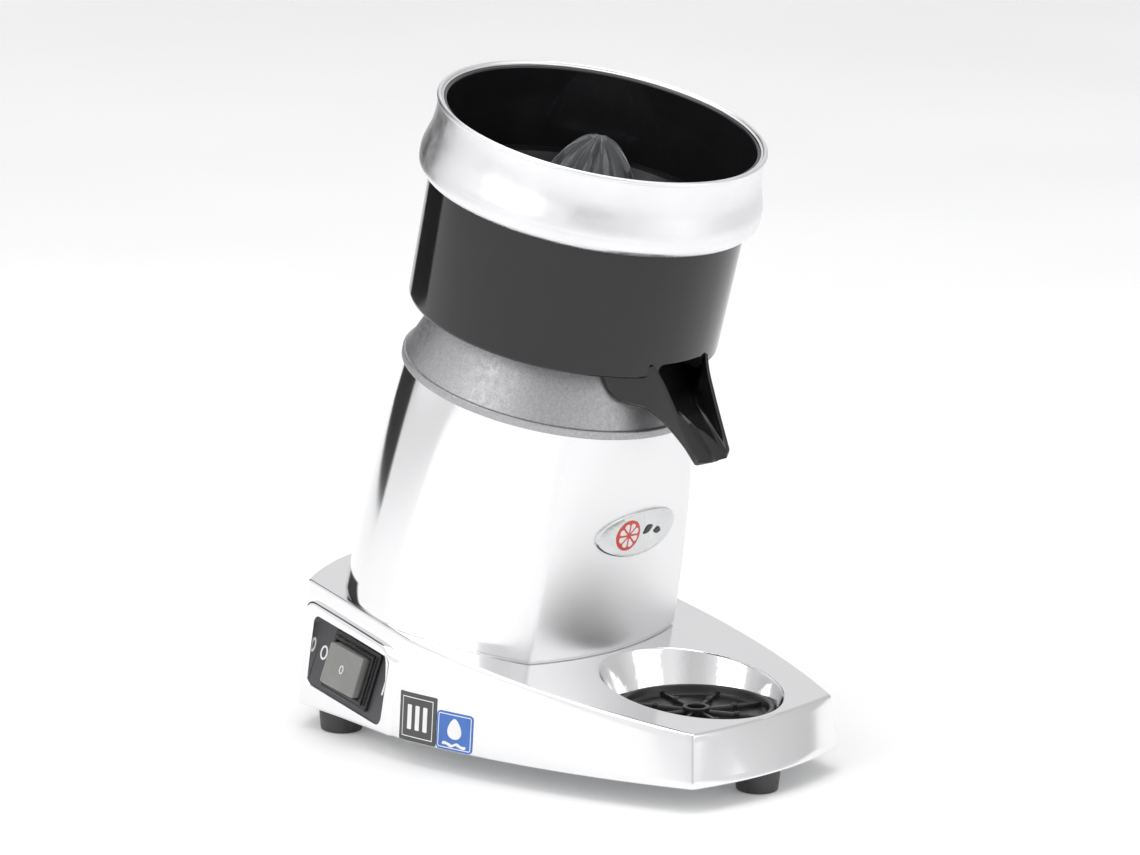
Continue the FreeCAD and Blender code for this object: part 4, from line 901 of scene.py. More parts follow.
class JUICER_OT_switch(bpy.types.Operator):
    """Panel, bezel, rocker boot and their marks"""

    bl_idname = "juicer.switch"
    bl_label = "Switch"

    def execute(self, context):
        pod = Sizes(context.scene.juicer_pod)

        def panel_piece(name, shape, body, slot, finish=None, replaces=()):
            return piece(name, (on_panel(shape[0], pod), shape[1]), body, slot, finish, replaces)

        sink = PANEL_SINK
        back = sink + 2.0
        profile = [(0.0, back), (0.0, sink + 0.3), (0.3, sink), (15.3, sink), (15.3, back)]
        plate = rect_rows(pod.panel_long, pod.panel_high, 4.0, profile)
        hole = rect_rows(33.4, 27.4, 0.6, [(0.0, sink), (0.0, back)])
        plate[3:] = resampled(hole, plate[3:])
        panel_piece("switch_plate", grid_shape(plate, wrap_rows=True), "root", "panel_black",
                    replaces=["switch_panel"])
        step = sink - BEZEL_PROUD / 2
        high = sink - BEZEL_PROUD
        bore = (BEZEL[0] - PADDLE[0]) / 2 - 2.6
        profile = [(0.0, sink + 0.2), (0.0, step + 0.5), (0.5, step), (2.3, step), (2.6, step - 0.3),
                   (2.7, high + 0.5), (3.2, high), (bore - 0.4, high), (bore, high + 0.4),
                   (bore, sink + 6.0), (bore - 0.8, sink + 6.0), (bore - 0.8, sink + 0.2)]
        bezel = grid_shape(rect_rows(*BEZEL, 1.6, profile), wrap_rows=True)
        panel_piece("bezel", bezel, "root", "switch_black", replaces=["switch_bezel"])
        face = high - PADDLE_STAND - BOOT_SHEET
        skirt = face + BOOT_SHEET + PADDLE_STAND + 1.5
        size = (PADDLE[0] + 2 * BOOT_SHEET, PADDLE[1] + 2 * BOOT_SHEET)
        inside = face + BOOT_SHEET
        profile = [(3.0, inside), (0.9, inside), (BOOT_SHEET, inside + 0.2), (BOOT_SHEET, skirt),
                   (0.0, skirt), (0.0, face + 0.9), (0.12, face + 0.4), (0.45, face + 0.12),
                   (0.9, face + 0.05), (1.5, face + 0.02), (1.7, face + 0.12), (2.0, face + 0.12),
                   (3.0, face + 0.1)]
        boot = grid_shape(rect_rows(*size, 1.4, profile), caps=True)
        panel_piece("switch_boot", (paddle_turn(boot[0]), boot[1]), "rocker", "boot_clear",
                    replaces=["rocker_boot"])
        nought = oval_ring(1.5, 2.3, 0.55, face + 0.4, face - 0.05)
        nought = (paddle_turn(nought[0]), nought[1])
        panel_piece("boot_nought", nought, "rocker", "boot_clear", "mark_white")
        off_mark = moved(oval_ring(2.9, 3.9, 1.1, sink + 0.3, sink - 0.2), x=-26.0)
        on_mark = moved(bar(1.3, 7.4, sink + 0.3, sink - 0.2), x=26.5)
        panel_piece("panel_marks", together(off_mark, on_mark), "root", "panel_black", "mark_white")
        return {"FINISHED"}


def resampled(source, like):
    """Points of the source rows with as many columns as other rows have."""
    count = like.shape[1]
    share = np.arange(count) * source.shape[1] / count
    low = np.floor(share).astype(int)
    part = (share - low)[None, :, None]
    return source[:, low] * (1 - part) + source[:, (low + 1) % source.shape[1]] * part


# ---- feet and tray ------------------------------------------------------------------------


class JUICER_OT_feet(bpy.types.Operator):
    """Three tapered rubber feet"""

    bl_idname = "juicer.feet"
    bl_label = "Feet"

    def execute(self, context):
        section = [(2.0, 7.0), (4.4, 7.0), (4.4, 0.0), (10.8, 0.0), (12.0, UNDERSIDE), (2.0, UNDERSIDE)]
        profile = softened(section, (0.0, 0.2, 0.5, 1.4, 0.3, 0.0))
        for name in ("foot_front", "foot_rear_left", "foot_rear_right"):
            low, high = node_mm(name)
            middle = (low + high) / 2
            foot = moved(lathe(profile, 72), middle[0], middle[1])
            piece(name.replace("foot", "rubber_foot"), placed(foot, upright), "root", "foot_rubber",
                  replaces=[name])
        return {"FINISHED"}


class JUICER_OT_tray(bpy.types.Operator):
    """Black ribbed tray in the recess"""

    bl_idname = "juicer.tray"
    bl_label = "Glass tray"

    def execute(self, context):
        middle = (TRAY_LOW + TRAY_HIGH) / 2
        outer = TRAY_HIGH[0]
        tall = TRAY_HIGH[2] - TRAY_LOW[2]
        section = [(1.0, 0.0), (outer, 0.0), (outer, tall), (outer - 2.5, tall), (outer - 3.4, 2.0),
                   (1.0, 2.0)]
        dish = softened(section, (0.0, 0.5, 0.8, 0.8, 2.0, 0.0))
        hub = softened([(4.8, 1.0), (7.0, 1.0), (7.0, tall - 1.0), (4.8, tall - 1.0)], (0.0, 0.0, 0.6, 0.6))
        plug = [(0.0, 0.2), (2.0, 0.2), (2.0, 1.9), (0.0, 1.9)]
        shapes = [lathe(dish, 120), lathe(hub, 48), lathe(plug, 48)]
        reach = (outer - 2.0 - 6.0) / 2
        rib = rect_rows(2 * reach, 2.2, 0.3, [(0.0, 1.0), (0.0, 3.9), (0.25, 4.35), (0.6, 4.5)])
        rib = np.stack([rib[..., 0] + 6.0 + reach, rib[..., 2], rib[..., 1]], -1)
        stud = softened([(0.0, 1.0), (1.8, 1.0), (1.7, 5.0), (0.0, 5.5)], (0.0, 0.0, 0.9, 0.0))
        for k in range(8):
            turn = math.radians(22.5 + 45.0 * k)
            shapes.append(moved(grid_shape(rib, caps=True), turn=turn))
            shapes.append(moved(lathe(stud, 20), 22.0 * math.cos(turn), 22.0 * math.sin(turn)))
        tray = moved(together(*shapes), middle[0], middle[1], TRAY_LOW[2])
        piece("tray_dish", placed(tray, upright), "tray", "bowl_black", "tray_black", ["glass_tray"])
        return {"FINISHED"}


# ---- motor housing and collar -------------------------------------------------------------

FOOT_CORNER = (58.0, 67.6)  # the front facet's corners at the foot, across and in front
FOOT_FRONT = 76.8
FOOT_REAR = 80.0
FOOT_SIDE_V = 8.0
SIDE_LAND = 8.0             # the housing's foot is this far inside the base's own edge
BELLY = 0.66                # share of the flare reached half way down
TOP_CORNER = math.radians(42.0)
LEVELS = 64


def seat_along(base):
    """Where the axis meets the base's top face, along the axis."""
    axis_y = AXIS_FOOT[1] / MM
    return top_z(axis_y, base) / (math.cos(LEAN) + math.tan(base.slope) * math.sin(LEAN))


def housing_table(base, body, wall):
    """Sections of the housing at even levels: the circle of the top turns into the flat-fronted foot
    by a flare f = s + (belly - 1/2) 4 s (1 - s), with s running from the top to the foot."""
    low = seat_along(base) - 12.0
    along = np.linspace(low - 6.0, body.housing_top, LEVELS)
    s = (body.housing_top - along) / (body.housing_top - low - 12.0)
    f = s + (BELLY - 0.5) * 4 * s * (1 - s)
    g = 1 - f
    top = body.housing_round
    side = top * g + (BASE_HIGH[0] - SIDE_LAND) * f - wall
    corner_x = top * math.sin(TOP_CORNER) * g + FOOT_CORNER[0] * f - wall
    corner_v = top * math.cos(TOP_CORNER) * g + FOOT_CORNER[1] * f - wall * 0.8
    front_v = top * g + FOOT_FRONT * f - wall
    rear_v = top * g + FOOT_REAR * f - wall
    side_v = FOOT_SIDE_V * f
    half = 0.5 * (math.pi / 2 - TOP_CORNER)
    mid_x = (top - wall) * math.cos(half) * g + (corner_x + (side - corner_x) * 0.64) * f
    mid_v = -(top - wall) * math.sin(half) * g + (-corner_v + (side_v + corner_v) * 0.46) * f
    root = math.sin(math.pi / 4)

    def at(x, v):
        return np.stack([x + 0 * f, v + 0 * f], -1)

    back_x = side * root
    back_v = side_v + (rear_v - side_v) * root
    edges = [
        (at(-corner_x, -corner_v), at(0, -front_v), at(corner_x, -corner_v)),
        (at(corner_x, -corner_v), at(mid_x, mid_v), at(side, side_v)),
        (at(side, side_v), at(back_x, back_v), at(0, rear_v)),
        (at(0, rear_v), at(-back_x, back_v), at(-side, side_v)),
        (at(-side, side_v), at(-mid_x, mid_v), at(-corner_x, -corner_v)),
    ]
    return along, loop(edges, (30, 34, 30, 30, 34), 1.6)


def housing_rows(base, body, wall, lifts, shares):
    """Rows of the housing: first at set lifts above the base, then at shares of the way to its top."""
    along, table = housing_table(base, body, wall)
    cos_l, sin_l = math.cos(LEAN), math.sin(LEAN)
    v = table[..., 1]
    y = AXIS_FOOT[1] / MM + v * cos_l - along[:, None] * sin_l
    above = v * sin_l + along[:, None] * cos_l - top_z(y, base)
    k = np.clip((above > 0).argmax(0), 1, LEVELS - 1)
    column = np.arange(table.shape[1])
    part = -above[k - 1, column] / (above[k, column] - above[k - 1, column])
    foot = along[k - 1] + part * (along[k] - along[k - 1])
    first = [foot + lift for lift in lifts]
    start = foot + lifts[-1]
    rest = [start + (body.housing_top - start) * share for share in shares]
    w = np.stack(first + rest)
    place = np.clip((w - along[0]) / (along[1] - along[0]), 0, LEVELS - 1.001)
    low = place.astype(int)
    part = (place - low)[..., None]
    plan = table[low, column] * (1 - part) + table[low + 1, column] * part
    return np.concatenate([plan, w[..., None]], -1)


def facet_v(base, body, x, w):
    """How far in front of the axis the housing's front facet lies at a place."""
    along, table = housing_table(base, body, 0.0)
    count = 30
    place = np.clip((w - along[0]) / (along[1] - along[0]), 0, LEVELS - 1.001)
    low = place.astype(int)
    front = table[:, :count]
    near = -front[low, count // 2, 1]
    edge_x = front[low, -1, 0]
    edge_v = -front[low, -1, 1]
    radius = (edge_x ** 2 + (near - edge_v) ** 2) / (2 * (near - edge_v))
    return near - radius + np.sqrt(radius ** 2 - x ** 2)


class JUICER_OT_housing(bpy.types.Operator):
    """Polished motor housing and the raw cast collar on it"""

    bl_idname = "juicer.housing"
    bl_label = "Motor housing"

    def execute(self, context):
        base = Sizes(context.scene.juicer_base)
        body = Sizes(context.scene.juicer_body)
        gap = housing_rows(base, body, 0.9, (0.05, 1.0), ())
        outer = housing_rows(base, body, 0.0, (1.3,), np.linspace(0, 1, 46))
        inner = housing_rows(base, body, 3.5, (0.05,), np.linspace(0, 1, 12))
        rows = np.concatenate([gap, outer, inner[::-1]])
        shell = grid_shape(leaning(rows), wrap_rows=True)
        piece("housing_shell", shell, "root", "polished_aluminium", "housing_polish",
              ["motor_housing"], 24.0)
        top = body.housing_top
        rim = body.collar_round
        seat = body.bowl_foot - 0.3
        profile = [(rim - 12.0, top), (rim, top), (rim, top + 4.4), (rim - 1.6, top + 4.4), (64.0, seat),
                   (11.5, seat), (11.5, 252.0), (7.5, 252.0), (7.5, top + 10.0), (11.5, top + 10.0),
                   (11.5, seat - 4.0), (61.0, seat - 4.0)]
        cut = (0.0, 0.6, 1.1, 1.0, 2.4, 1.0, 0.5, 0.5, 0.0, 0.0, 0.0, 0.0)
        piece("collar_ring", placed(lathe(softened(profile, cut), 200), leaning), "root", "raw_casting",
              replaces=["collar"], sharp=40.0)
        return {"FINISHED"}


# ---- bowl, spout, band and reamer ---------------------------------------------------------

BOWL_WALL = 2.6
SPOUT_V = (57.0, 61.0, 66.0, 72.0, 78.0, 84.0, 92.0, 102.0, 111.2)
SPOUT_HALF = (37.0, 35.6, 33.0, 28.0, 23.0, 19.8, 17.8, 16.0, 14.6)
SPOUT_FLOOR = (224.0, 218.5, 215.0, 213.8, 213.2, 210.8, 206.8, 200.8, 194.6)
SPOUT_WALL = 2.3
COLLAR_SLOPE = 30.0 / 14.4  # fall of the collar's cone outwards; the spout stays above it
SPOUT_TIP_TOP = 198.4
SPOUT_APEX = (78.6, 238.5)  # where a side wall's edge meets the bowl, in front and along


def spout_shape():
    """Open channel: a thick U drawn from under the bowl to the tip. Its half width and floor follow
    smooth curves through the knots, its upper edges rise straight to points on the bowl's wall, and
    its end bulges forwards by b (1 - (x / half)^2). It is lifted clear of the collar's cone."""
    stations = np.concatenate([np.linspace(57.0, 75.5, 12), np.linspace(76.5, 79.0, 4),
                               np.linspace(80.5, 109.6, 18), [110.6, 111.0]])
    half = smooth_through(SPOUT_V, SPOUT_HALF, stations)
    floor = smooth_through(SPOUT_V, SPOUT_FLOOR, stations)
    rise = (SPOUT_APEX[1] - SPOUT_TIP_TOP) / (SPOUT_V[-1] - SPOUT_APEX[0])
    edge = SPOUT_TIP_TOP + rise * (SPOUT_V[-1] - stations)
    start = np.clip((stations - 75.5) / (SPOUT_APEX[0] - 75.5), 0, 1)
    edge = np.where(stations < SPOUT_APEX[0], 231.2 + (SPOUT_APEX[1] - 231.2) * start, edge)
    rib = 2.4 * np.clip((stations - 86.0) / 12.0, 0, 1) * np.clip((113.0 - stations) / 6.0, 0.3, 1)
    shrink = np.zeros(len(stations))
    shrink[-1] = 0.45
    rows = []
    for v, h, low, top, ridge, less in zip(stations, half, floor, edge, rib, shrink):
        t = SPOUT_WALL
        b = 0.92 * h
        outline = [(-h + less, top - less), (-b + less, low + less), (b - less, low + less),
                   (h - less, top - less), (h - t + less, top - less), (b - t + less, low + t - less),
                   (1.6, low + t - less), (0.0, low + t + ridge - less), (-1.6, low + t - less),
                   (-b + t - less, low + t - less), (-h + t - less, top - less)]
        ring = softened(outline, (0.7, 3.8, 3.8, 0.7, 0.7, 2.4, 0.4, 0.35, 0.4, 2.4, 0.7), 6)
        bulge = 2.6 * np.clip((v - 96.0) / 15.0, 0, 1) ** 2
        forward = v + bulge * (1 - (ring[:, 0] / h) ** 2)
        rows.append(np.stack([ring[:, 0], -forward, ring[:, 1] - 0.55 * (forward - v)], -1))
    grid = np.stack(rows)
    cone = 230.0 - COLLAR_SLOPE * np.maximum(np.hypot(grid[..., 0], grid[..., 1]) - 64.0, 0.0)
    clear = np.where(np.arange(grid.shape[1]) < 24, 0.6, 0.6 + 0.8 * SPOUT_WALL)
    grid[..., 2] = np.maximum(grid[..., 2], cone + clear)
    return grid_shape(grid, caps=True)


def bowl_profile(body):
    """Section of the bowl: tapered wall, rounded foot, strainer ledge, floor and central tube."""
    foot = body.bowl_foot
    rim = body.band_top - 2.0

    def wall_r(w):
        return body.bowl_low + (body.bowl_high - body.bowl_low) * (w - foot) / (rim - foot)

    seat = 292.0
    inner = wall_r(seat) - BOWL_WALL
    points = [(13.5, foot), (74.2, foot), (74.6, foot + 0.7), (75.6, foot + 0.7), (76.0, foot),
              (wall_r(foot), foot),
              (wall_r(rim), rim), (wall_r(rim) - BOWL_WALL, rim), (inner + 0.05, seat), (inner - 3.0, seat),
              (inner - 0.05, seat - 6.0), (wall_r(foot) - BOWL_WALL, foot + 3.0), (16.0, foot + 3.0),
              (16.0, 258.0), (13.5, 258.0)]
    cut = (0.6, 0.2, 0.1, 0.1, 0.2, 6.5, 1.0, 1.0, 0.1, 0.5, 1.0, 4.5, 2.0, 0.8, 0.8)
    return softened(points, cut, 7)


class JUICER_OT_bowl(bpy.types.Operator):
    """Glossy bowl with its spout"""

    bl_idname = "juicer.bowl"
    bl_label = "Bowl"

    def execute(self, context):
        body = Sizes(context.scene.juicer_body)
        made = piece("bowl_shell", placed(lathe(bowl_profile(body), 240), leaning), "bowl", "bowl_black",
                     replaces=["bowl"])
        ring = rounded_rect(33.0, 12.0, 3.0)
        outlet = np.empty((2, len(ring), 3))
        outlet[..., 0] = ring[:, 0]
        outlet[..., 1] = np.array([[-66.0], [-86.0]])
        outlet[..., 2] = ring[:, 1] + 232.0
        cut_out(made, grid_shape(leaning(outlet), caps=True))
        piece("spout", placed(spout_shape(), leaning), "bowl", "bowl_black", sharp=40.0)
        return {"FINISHED"}


class JUICER_OT_band(bpy.types.Operator):
    """Spun splash band with a rolled rim, a neck and a low bulge"""

    bl_idname = "juicer.band"
    bl_label = "Splash band"

    def execute(self, context):
        body = Sizes(context.scene.juicer_body)
        foot = body.band_foot
        tall = body.band_top - foot
        bulge = body.band_bulge
        neck = body.bowl_high + 0.3 + 1.4
        share = np.linspace(0, 1, 44)
        knots = (0.0, 0.05, 0.17, 0.28, 0.42, 0.58, 0.78, 0.90, 1.0)
        out = (bulge - 2.6, bulge - 1.0, bulge, bulge - 0.3, bulge - 1.7, neck + 0.9, neck + 0.1,
               neck + 0.15, neck + 0.5)
        radius = smooth_through(knots, out, share)
        groove = 0.28 * np.exp(-((share - 0.20) / 0.012) ** 2)
        outside = np.stack([radius - groove, foot + share * (tall - 2.0)], -1)
        roll = np.linspace(-0.45 * math.pi, 0.95 * math.pi, 16)
        rim = np.stack([neck - 0.2 + 1.3 * np.cos(roll), body.band_top - 1.3 + 1.3 * np.sin(roll)], -1)
        top = body.band_top
        inside = [(neck - 2.4, top - 1.4), (neck - 2.4, top - 1.9), (neck - 1.4, top - 2.0),
                  (neck - 1.4, foot + 0.56 * tall)]
        back = np.linspace(0.50, 0.0, 20)
        lining = np.maximum(smooth_through(knots, out, back) - 1.4, neck - 1.4)
        liner = np.stack([lining, foot + back * (tall - 2.0)], -1)
        profile = np.concatenate([outside, rim, inside, liner])
        piece("band", placed(lathe(profile, 240), leaning), "splash_band", "satin_aluminium",
              replaces=["splash_band"], sharp=50.0)
        return {"FINISHED"}


HUB_ROOM = 11.6             # radius left inside the reamer for the drive hub


class JUICER_OT_reamer(bpy.types.Operator):
    """Smoked ribbed reamer"""

    bl_idname = "juicer.reamer"
    bl_label = "Reamer"

    def execute(self, context):
        body = Sizes(context.scene.juicer_body)
        low, tip = 268.5, 331.0
        columns = 24 * body.ribs
        turn = np.arange(columns) * TURN / columns
        share = np.concatenate([np.linspace(0.03, 0.9, 36), 0.9 + 0.1 * np.linspace(0, 1, 14)[1:]])
        crest = (body.reamer_round - 4.5) * np.sqrt(np.maximum(1 - share ** 1.5, 0)) + 0.6
        valley = np.abs(np.sin(turn * body.ribs / 2)) ** 0.8
        depth = np.minimum(3.0, crest * 0.34)
        swirl = 0.10 * share
        reach = crest[:, None] - depth[:, None] * valley
        angles = turn[None] + swirl[:, None]
        height = np.broadcast_to((low + share * (tip - low))[:, None], reach.shape)
        cone = np.stack([reach * np.cos(angles), reach * np.sin(angles), height], -1)

        def circle(radius, w):
            return np.stack([radius * np.cos(turn), radius * np.sin(turn), np.full(columns, w)], -1)[None]

        skirt_r = body.reamer_round
        skirt = [circle(skirt_r - 8.0, low), circle(skirt_r - 0.4, low), circle(skirt_r, low + 0.4),
                 circle(skirt_r, low + 1.2), circle(skirt_r - 0.5, low + 1.6),
                 circle(skirt_r - 3.0, low + 1.8)]
        hollow_share = np.linspace(0.84, 0.0, 14)
        hollow_r = (skirt_r - 4.5) * np.sqrt(1 - hollow_share ** 1.5) - 5.2
        kept = zip(hollow_r[hollow_share < 0.42], hollow_share[hollow_share < 0.42])
        hollow = [circle(max(r, HUB_ROOM), low + s * (tip - low)) for r, s in kept]
        inner = [circle(HUB_ROOM, 294.8)] + hollow
        closed = np.concatenate([cone[::-1], *skirt[::-1], *inner[::-1]])
        piece("reamer_cone", grid_shape(leaning(closed), caps=True), "reamer", "smoked_plastic",
              replaces=["reamer"], sharp=60.0)
        return {"FINISHED"}


# ---- badge and labels ---------------------------------------------------------------------

BADGE_HALF = (31.0, 12.6)
BADGE_DROP = 55.0           # the badge's middle below the housing's top
LABEL_LIFT = 0.8
LABELS = (("dark_label", 25.0, 25.5, 0.0), ("blue_label", 23.0, 20.0, 25.5))
LABEL_START = 4.0


def on_facet(u, up, lift):
    """Points on the front facet: across, up from the badge's middle, and lifted off it."""
    base = Sizes(bpy.context.scene.juicer_base)
    body = Sizes(bpy.context.scene.juicer_body)
    w = body.housing_top - BADGE_DROP + up
    return leaning(np.stack([u, -facet_v(base, body, u, w) - lift, w], -1))


def badge_disc(centre, half, lifts, steps=96):
    """Oval disc on the facet: rings at shares of its size, each at its own lift."""
    a = np.arange(steps) * TURN / steps
    share = np.array([entry[0] for entry in lifts])[:, None]
    lift = np.array([entry[1] for entry in lifts])[:, None] + 0 * a
    u = centre[0] + half[0] * share * np.cos(a)
    up = centre[1] + half[1] * share * np.sin(a)
    return grid_shape(on_facet(u, up, lift), caps=True)


def badge_patch(outline, low, high):
    """Flat shape on the badge from a closed outline of (across, up) points."""
    outline = np.asarray(outline, float)
    middle = outline.mean(0)
    rows = []
    for share, lift in ((1.0, low), (1.0, high), (0.96, high + 0.05), (0.5, high + 0.05)):
        ring = middle + (outline - middle) * share
        rows.append(on_facet(ring[:, 0], ring[:, 1], np.full(len(ring), lift)))
    return grid_shape(np.stack(rows), caps=True)


def fruit_segments(centre, radius, count=8):
    """Wedges of a cut fruit: rounded triangles round a centre."""
    shapes = []
    for k in range(count):
        a = TURN * (k + 0.5) / count
        spread = math.pi / count * 0.78
        ray = np.array([[0.22, 0.0], [0.90 * math.cos(spread), -0.90 * math.sin(spread)], [1.0, 0.0],
                        [0.90 * math.cos(spread), 0.90 * math.sin(spread)]]) * radius
        outline = softened(ray, (0.3, 0.9, 2.0, 0.9), 5)
        c, s = math.cos(a), math.sin(a)
        outline = outline @ np.array([[c, s], [-s, c]]) + np.array(centre)
        shapes.append(badge_patch(outline, 0.6, 1.28))
    return together(*shapes)


def flank_place(y, z, lift):
    """Points on the left flank at a distance along the base and a height, lifted off it."""
    base = Sizes(bpy.context.scene.juicer_base)
    foot, top = base_loops(base, (0.0, 0.0), (0, 1))
    rows = []
    for ring in (foot, top):
        left = ring[ring[:, 0] < -1.0]
        order = np.argsort(left[:, 1])
        rows.append(np.interp(y, left[order, 1], left[order, 0]))
    share = (z - UNDERSIDE) / (top_z(y, base) - UNDERSIDE)
    x = rows[0] + (rows[1] - rows[0]) * share
    return upright(np.stack([x - lift, y, z], -1))


def label_plate(start, long, high, corner, inset, low, top, hole=None):
    """Film on the flank: a rounded rectangle, or a frame when it has a hole's inset."""
    profile = [(inset, low), (inset, top)]
    steps = np.linspace(0.2, 0.94, 6) * high / 2
    profile += [(hole, top), (hole, low)] if hole else [(step, top + 0.03) for step in steps]
    rows = np.stack([outer_dense(row[:, ::2], 6) for row in rect_rows(long, high, corner, profile)])
    rows = np.stack([rows[..., 0], np.array(profile)[:, 1:] + 0 * rows[..., 0], rows[..., 1]], -1)
    y = start - long / 2 - rows[..., 0]
    z = UNDERSIDE + LABEL_LIFT + high / 2 + rows[..., 2]
    return grid_shape(flank_place(y, z, rows[..., 1]), wrap_rows=bool(hole), caps=not hole)


def label_sign(start, long, high, outline):
    """Small raised sign on a label from a closed outline about its middle."""
    outline = np.asarray(outline, float)
    middle = outline.mean(0)
    rows = []
    for share, lift in ((1.0, 0.1), (1.0, 0.42), (0.94, 0.45), (0.4, 0.45)):
        ring = middle + (outline - middle) * share
        y = start - long / 2 - ring[:, 0]
        z = UNDERSIDE + LABEL_LIFT + high / 2 + ring[:, 1]
        rows.append(flank_place(y, z, lift + 0 * y))
    return grid_shape(np.stack(rows), caps=True)


def sign_outlines(kind):
    """Plain signs: three upright bars, or a drop over two waves."""
    if kind == "dark_label":
        slant = np.array([[-1.4, -6.5], [1.4, -6.5], [1.4, 6.5], [-1.4, 6.5]])
        return [softened(slant + np.array([x, 0.0]), 0.5) for x in (-5.2, 0.0, 5.2)]
    a = np.arange(40) * TURN / 40
    drop = np.stack([4.2 * np.cos(a) * (1 - 0.35 * np.sin(a)), 1.5 + 5.4 * np.sin(a)], -1)
    t = np.linspace(-1, 1, 24)
    wave = np.concatenate([np.stack([7.5 * t, -6.3 + 0.7 * np.sin(6 * t)], -1),
                           np.stack([7.5 * t[::-1], -7.6 + 0.7 * np.sin(6 * t[::-1])], -1)])
    return [drop, wave]


class JUICER_OT_labels(bpy.types.Operator):
    """Oval badge with a cut fruit, and two plain labels"""

    bl_idname = "juicer.labels"
    bl_label = "Badge and labels"

    def execute(self, context):
        rings = [(0.0, -0.5), (1.0, -0.5), (1.0, 0.85), (0.985, 1.05), (0.95, 1.15), (0.93, 1.12),
                 (0.915, 0.95), (0.7, 0.95), (0.35, 0.95), (0.0, 0.95)]
        plate = badge_disc((0.0, 0.0), BADGE_HALF, rings)
        piece("badge_plate", plate, "root", "badge_metal", replaces=["badge"])
        rings = [(0.0, 0.5), (1.0, 0.5), (1.0, 1.05), (0.98, 1.12), (0.5, 1.12), (0.0, 1.12)]
        rind = badge_disc((-9.5, 0.0), (8.4, 8.4), rings, 48)
        piece("badge_rind", rind, "root", "badge_metal", "mark_red")
        piece("badge_segments", fruit_segments((-9.5, 0.0), 7.0), "root", "badge_metal", "mark_white")
        t = np.linspace(0, 1, 20)
        leaves = []
        for x, size, tilt in ((6.0, 8.0, 0.5), (14.0, 7.0, -0.15)):
            blade = np.concatenate([np.stack([t, 0.34 * np.sin(math.pi * t)], -1),
                                    np.stack([t[::-1], -0.20 * np.sin(math.pi * t)], -1)[1:-1]]) * size
            c, s = math.cos(tilt), math.sin(tilt)
            blade = blade @ np.array([[c, s], [-s, c]]) + np.array([x - size / 2, -1.0])
            leaves.append(badge_patch(blade, 0.6, 1.2))
        piece("badge_leaves", together(*leaves), "root", "badge_metal", "mark_dark")
        wide_y = BASE_REAR - Sizes(context.scene.juicer_base).widest
        for name, long, high, shift in LABELS:
            start = wide_y + LABEL_START - shift
            corner = 0.8 if name == "dark_label" else 2.2
            edge = 2.2 if name == "dark_label" else 1.0
            plate = label_plate(start, long, high, corner, 0.0, -0.2, 0.3)
            piece(name + "_film", plate, "root", "label_dark" if name == "dark_label" else "label_blue",
                  replaces=[name])
            line = label_plate(start, long, high, corner, edge, 0.1, 0.36, edge + 0.45)
            signs = [label_sign(start, long, high, outline) for outline in sign_outlines(name)]
            piece(name + "_signs", together(line, *signs), "root",
                  "label_dark" if name == "dark_label" else "label_blue", "mark_white")
        return {"FINISHED"}


# ---- what stays from the CAD model --------------------------------------------------------


class JUICER_OT_finishes(bpy.types.Operator):
    """Gives every remaining CAD part the finish of its slot"""

    bl_idname = "juicer.finishes"
    bl_label = "Finishes"

    def execute(self, context):
        slots = {part["node"]: part["material_slot"] for part in frame["record"]["subparts"]}
        for name, part in frame["nodes"].items():
            if part.hide_render:
                continue
            part.data.materials.clear()
            part.data.materials.append(finish_of(slots[name]))
            shade(part.data, 32.0)
        return {"FINISHED"}


# ---- stage --------------------------------------------------------------------------------


class JUICER_OT_stage(bpy.types.Operator):
    """Pale floor, soft studio light and the camera"""

    bl_idname = "juicer.stage"
    bl_label = "Stage"

    def execute(self, context):
        scene = context.scene
        stage = scene.juicer_stage
        make_floor()
        make_flag()
        make_world(scene)
        make_lights(scene)
        make_camera(scene, stage)
        scene.view_settings.view_transform = "Standard"
        return {"FINISHED"}


def make_floor():
    """Round pale floor, wide enough for every view."""
    a = np.arange(96) * TURN / 96
    radii = np.array([0.0, 0.5, 2.0, 8.0])[:, None]
    grid = np.stack([radii * np.cos(a), radii * np.sin(a), np.full((4, 96), -0.0002)], -1)
    mesh = bpy.data.meshes.new("floor")
    points, faces = grid_shape(grid)
    mesh.from_pydata(points.tolist(), [], faces)
    clean(mesh)
    floor = bpy.data.objects.new("floor", mesh)
    bpy.context.scene.collection.objects.link(floor)
    n = Nodes("floor_paper")
    n.tint(n.noise(3.0, 3.0), (0.90, 0.90, 0.90), (0.93, 0.93, 0.93))
    n.spread(n.noise(40.0, 3.0), 0.75, 0.85, n.shader.inputs["Roughness"])
    n.shader.inputs["Specular IOR Level"].default_value = 0.1
    n.shader.inputs["Emission Color"].default_value = (1.0, 1.0, 1.0, 1.0)
    n.shader.inputs["Emission Strength"].default_value = 0.12
    floor.data.materials.append(n.material)


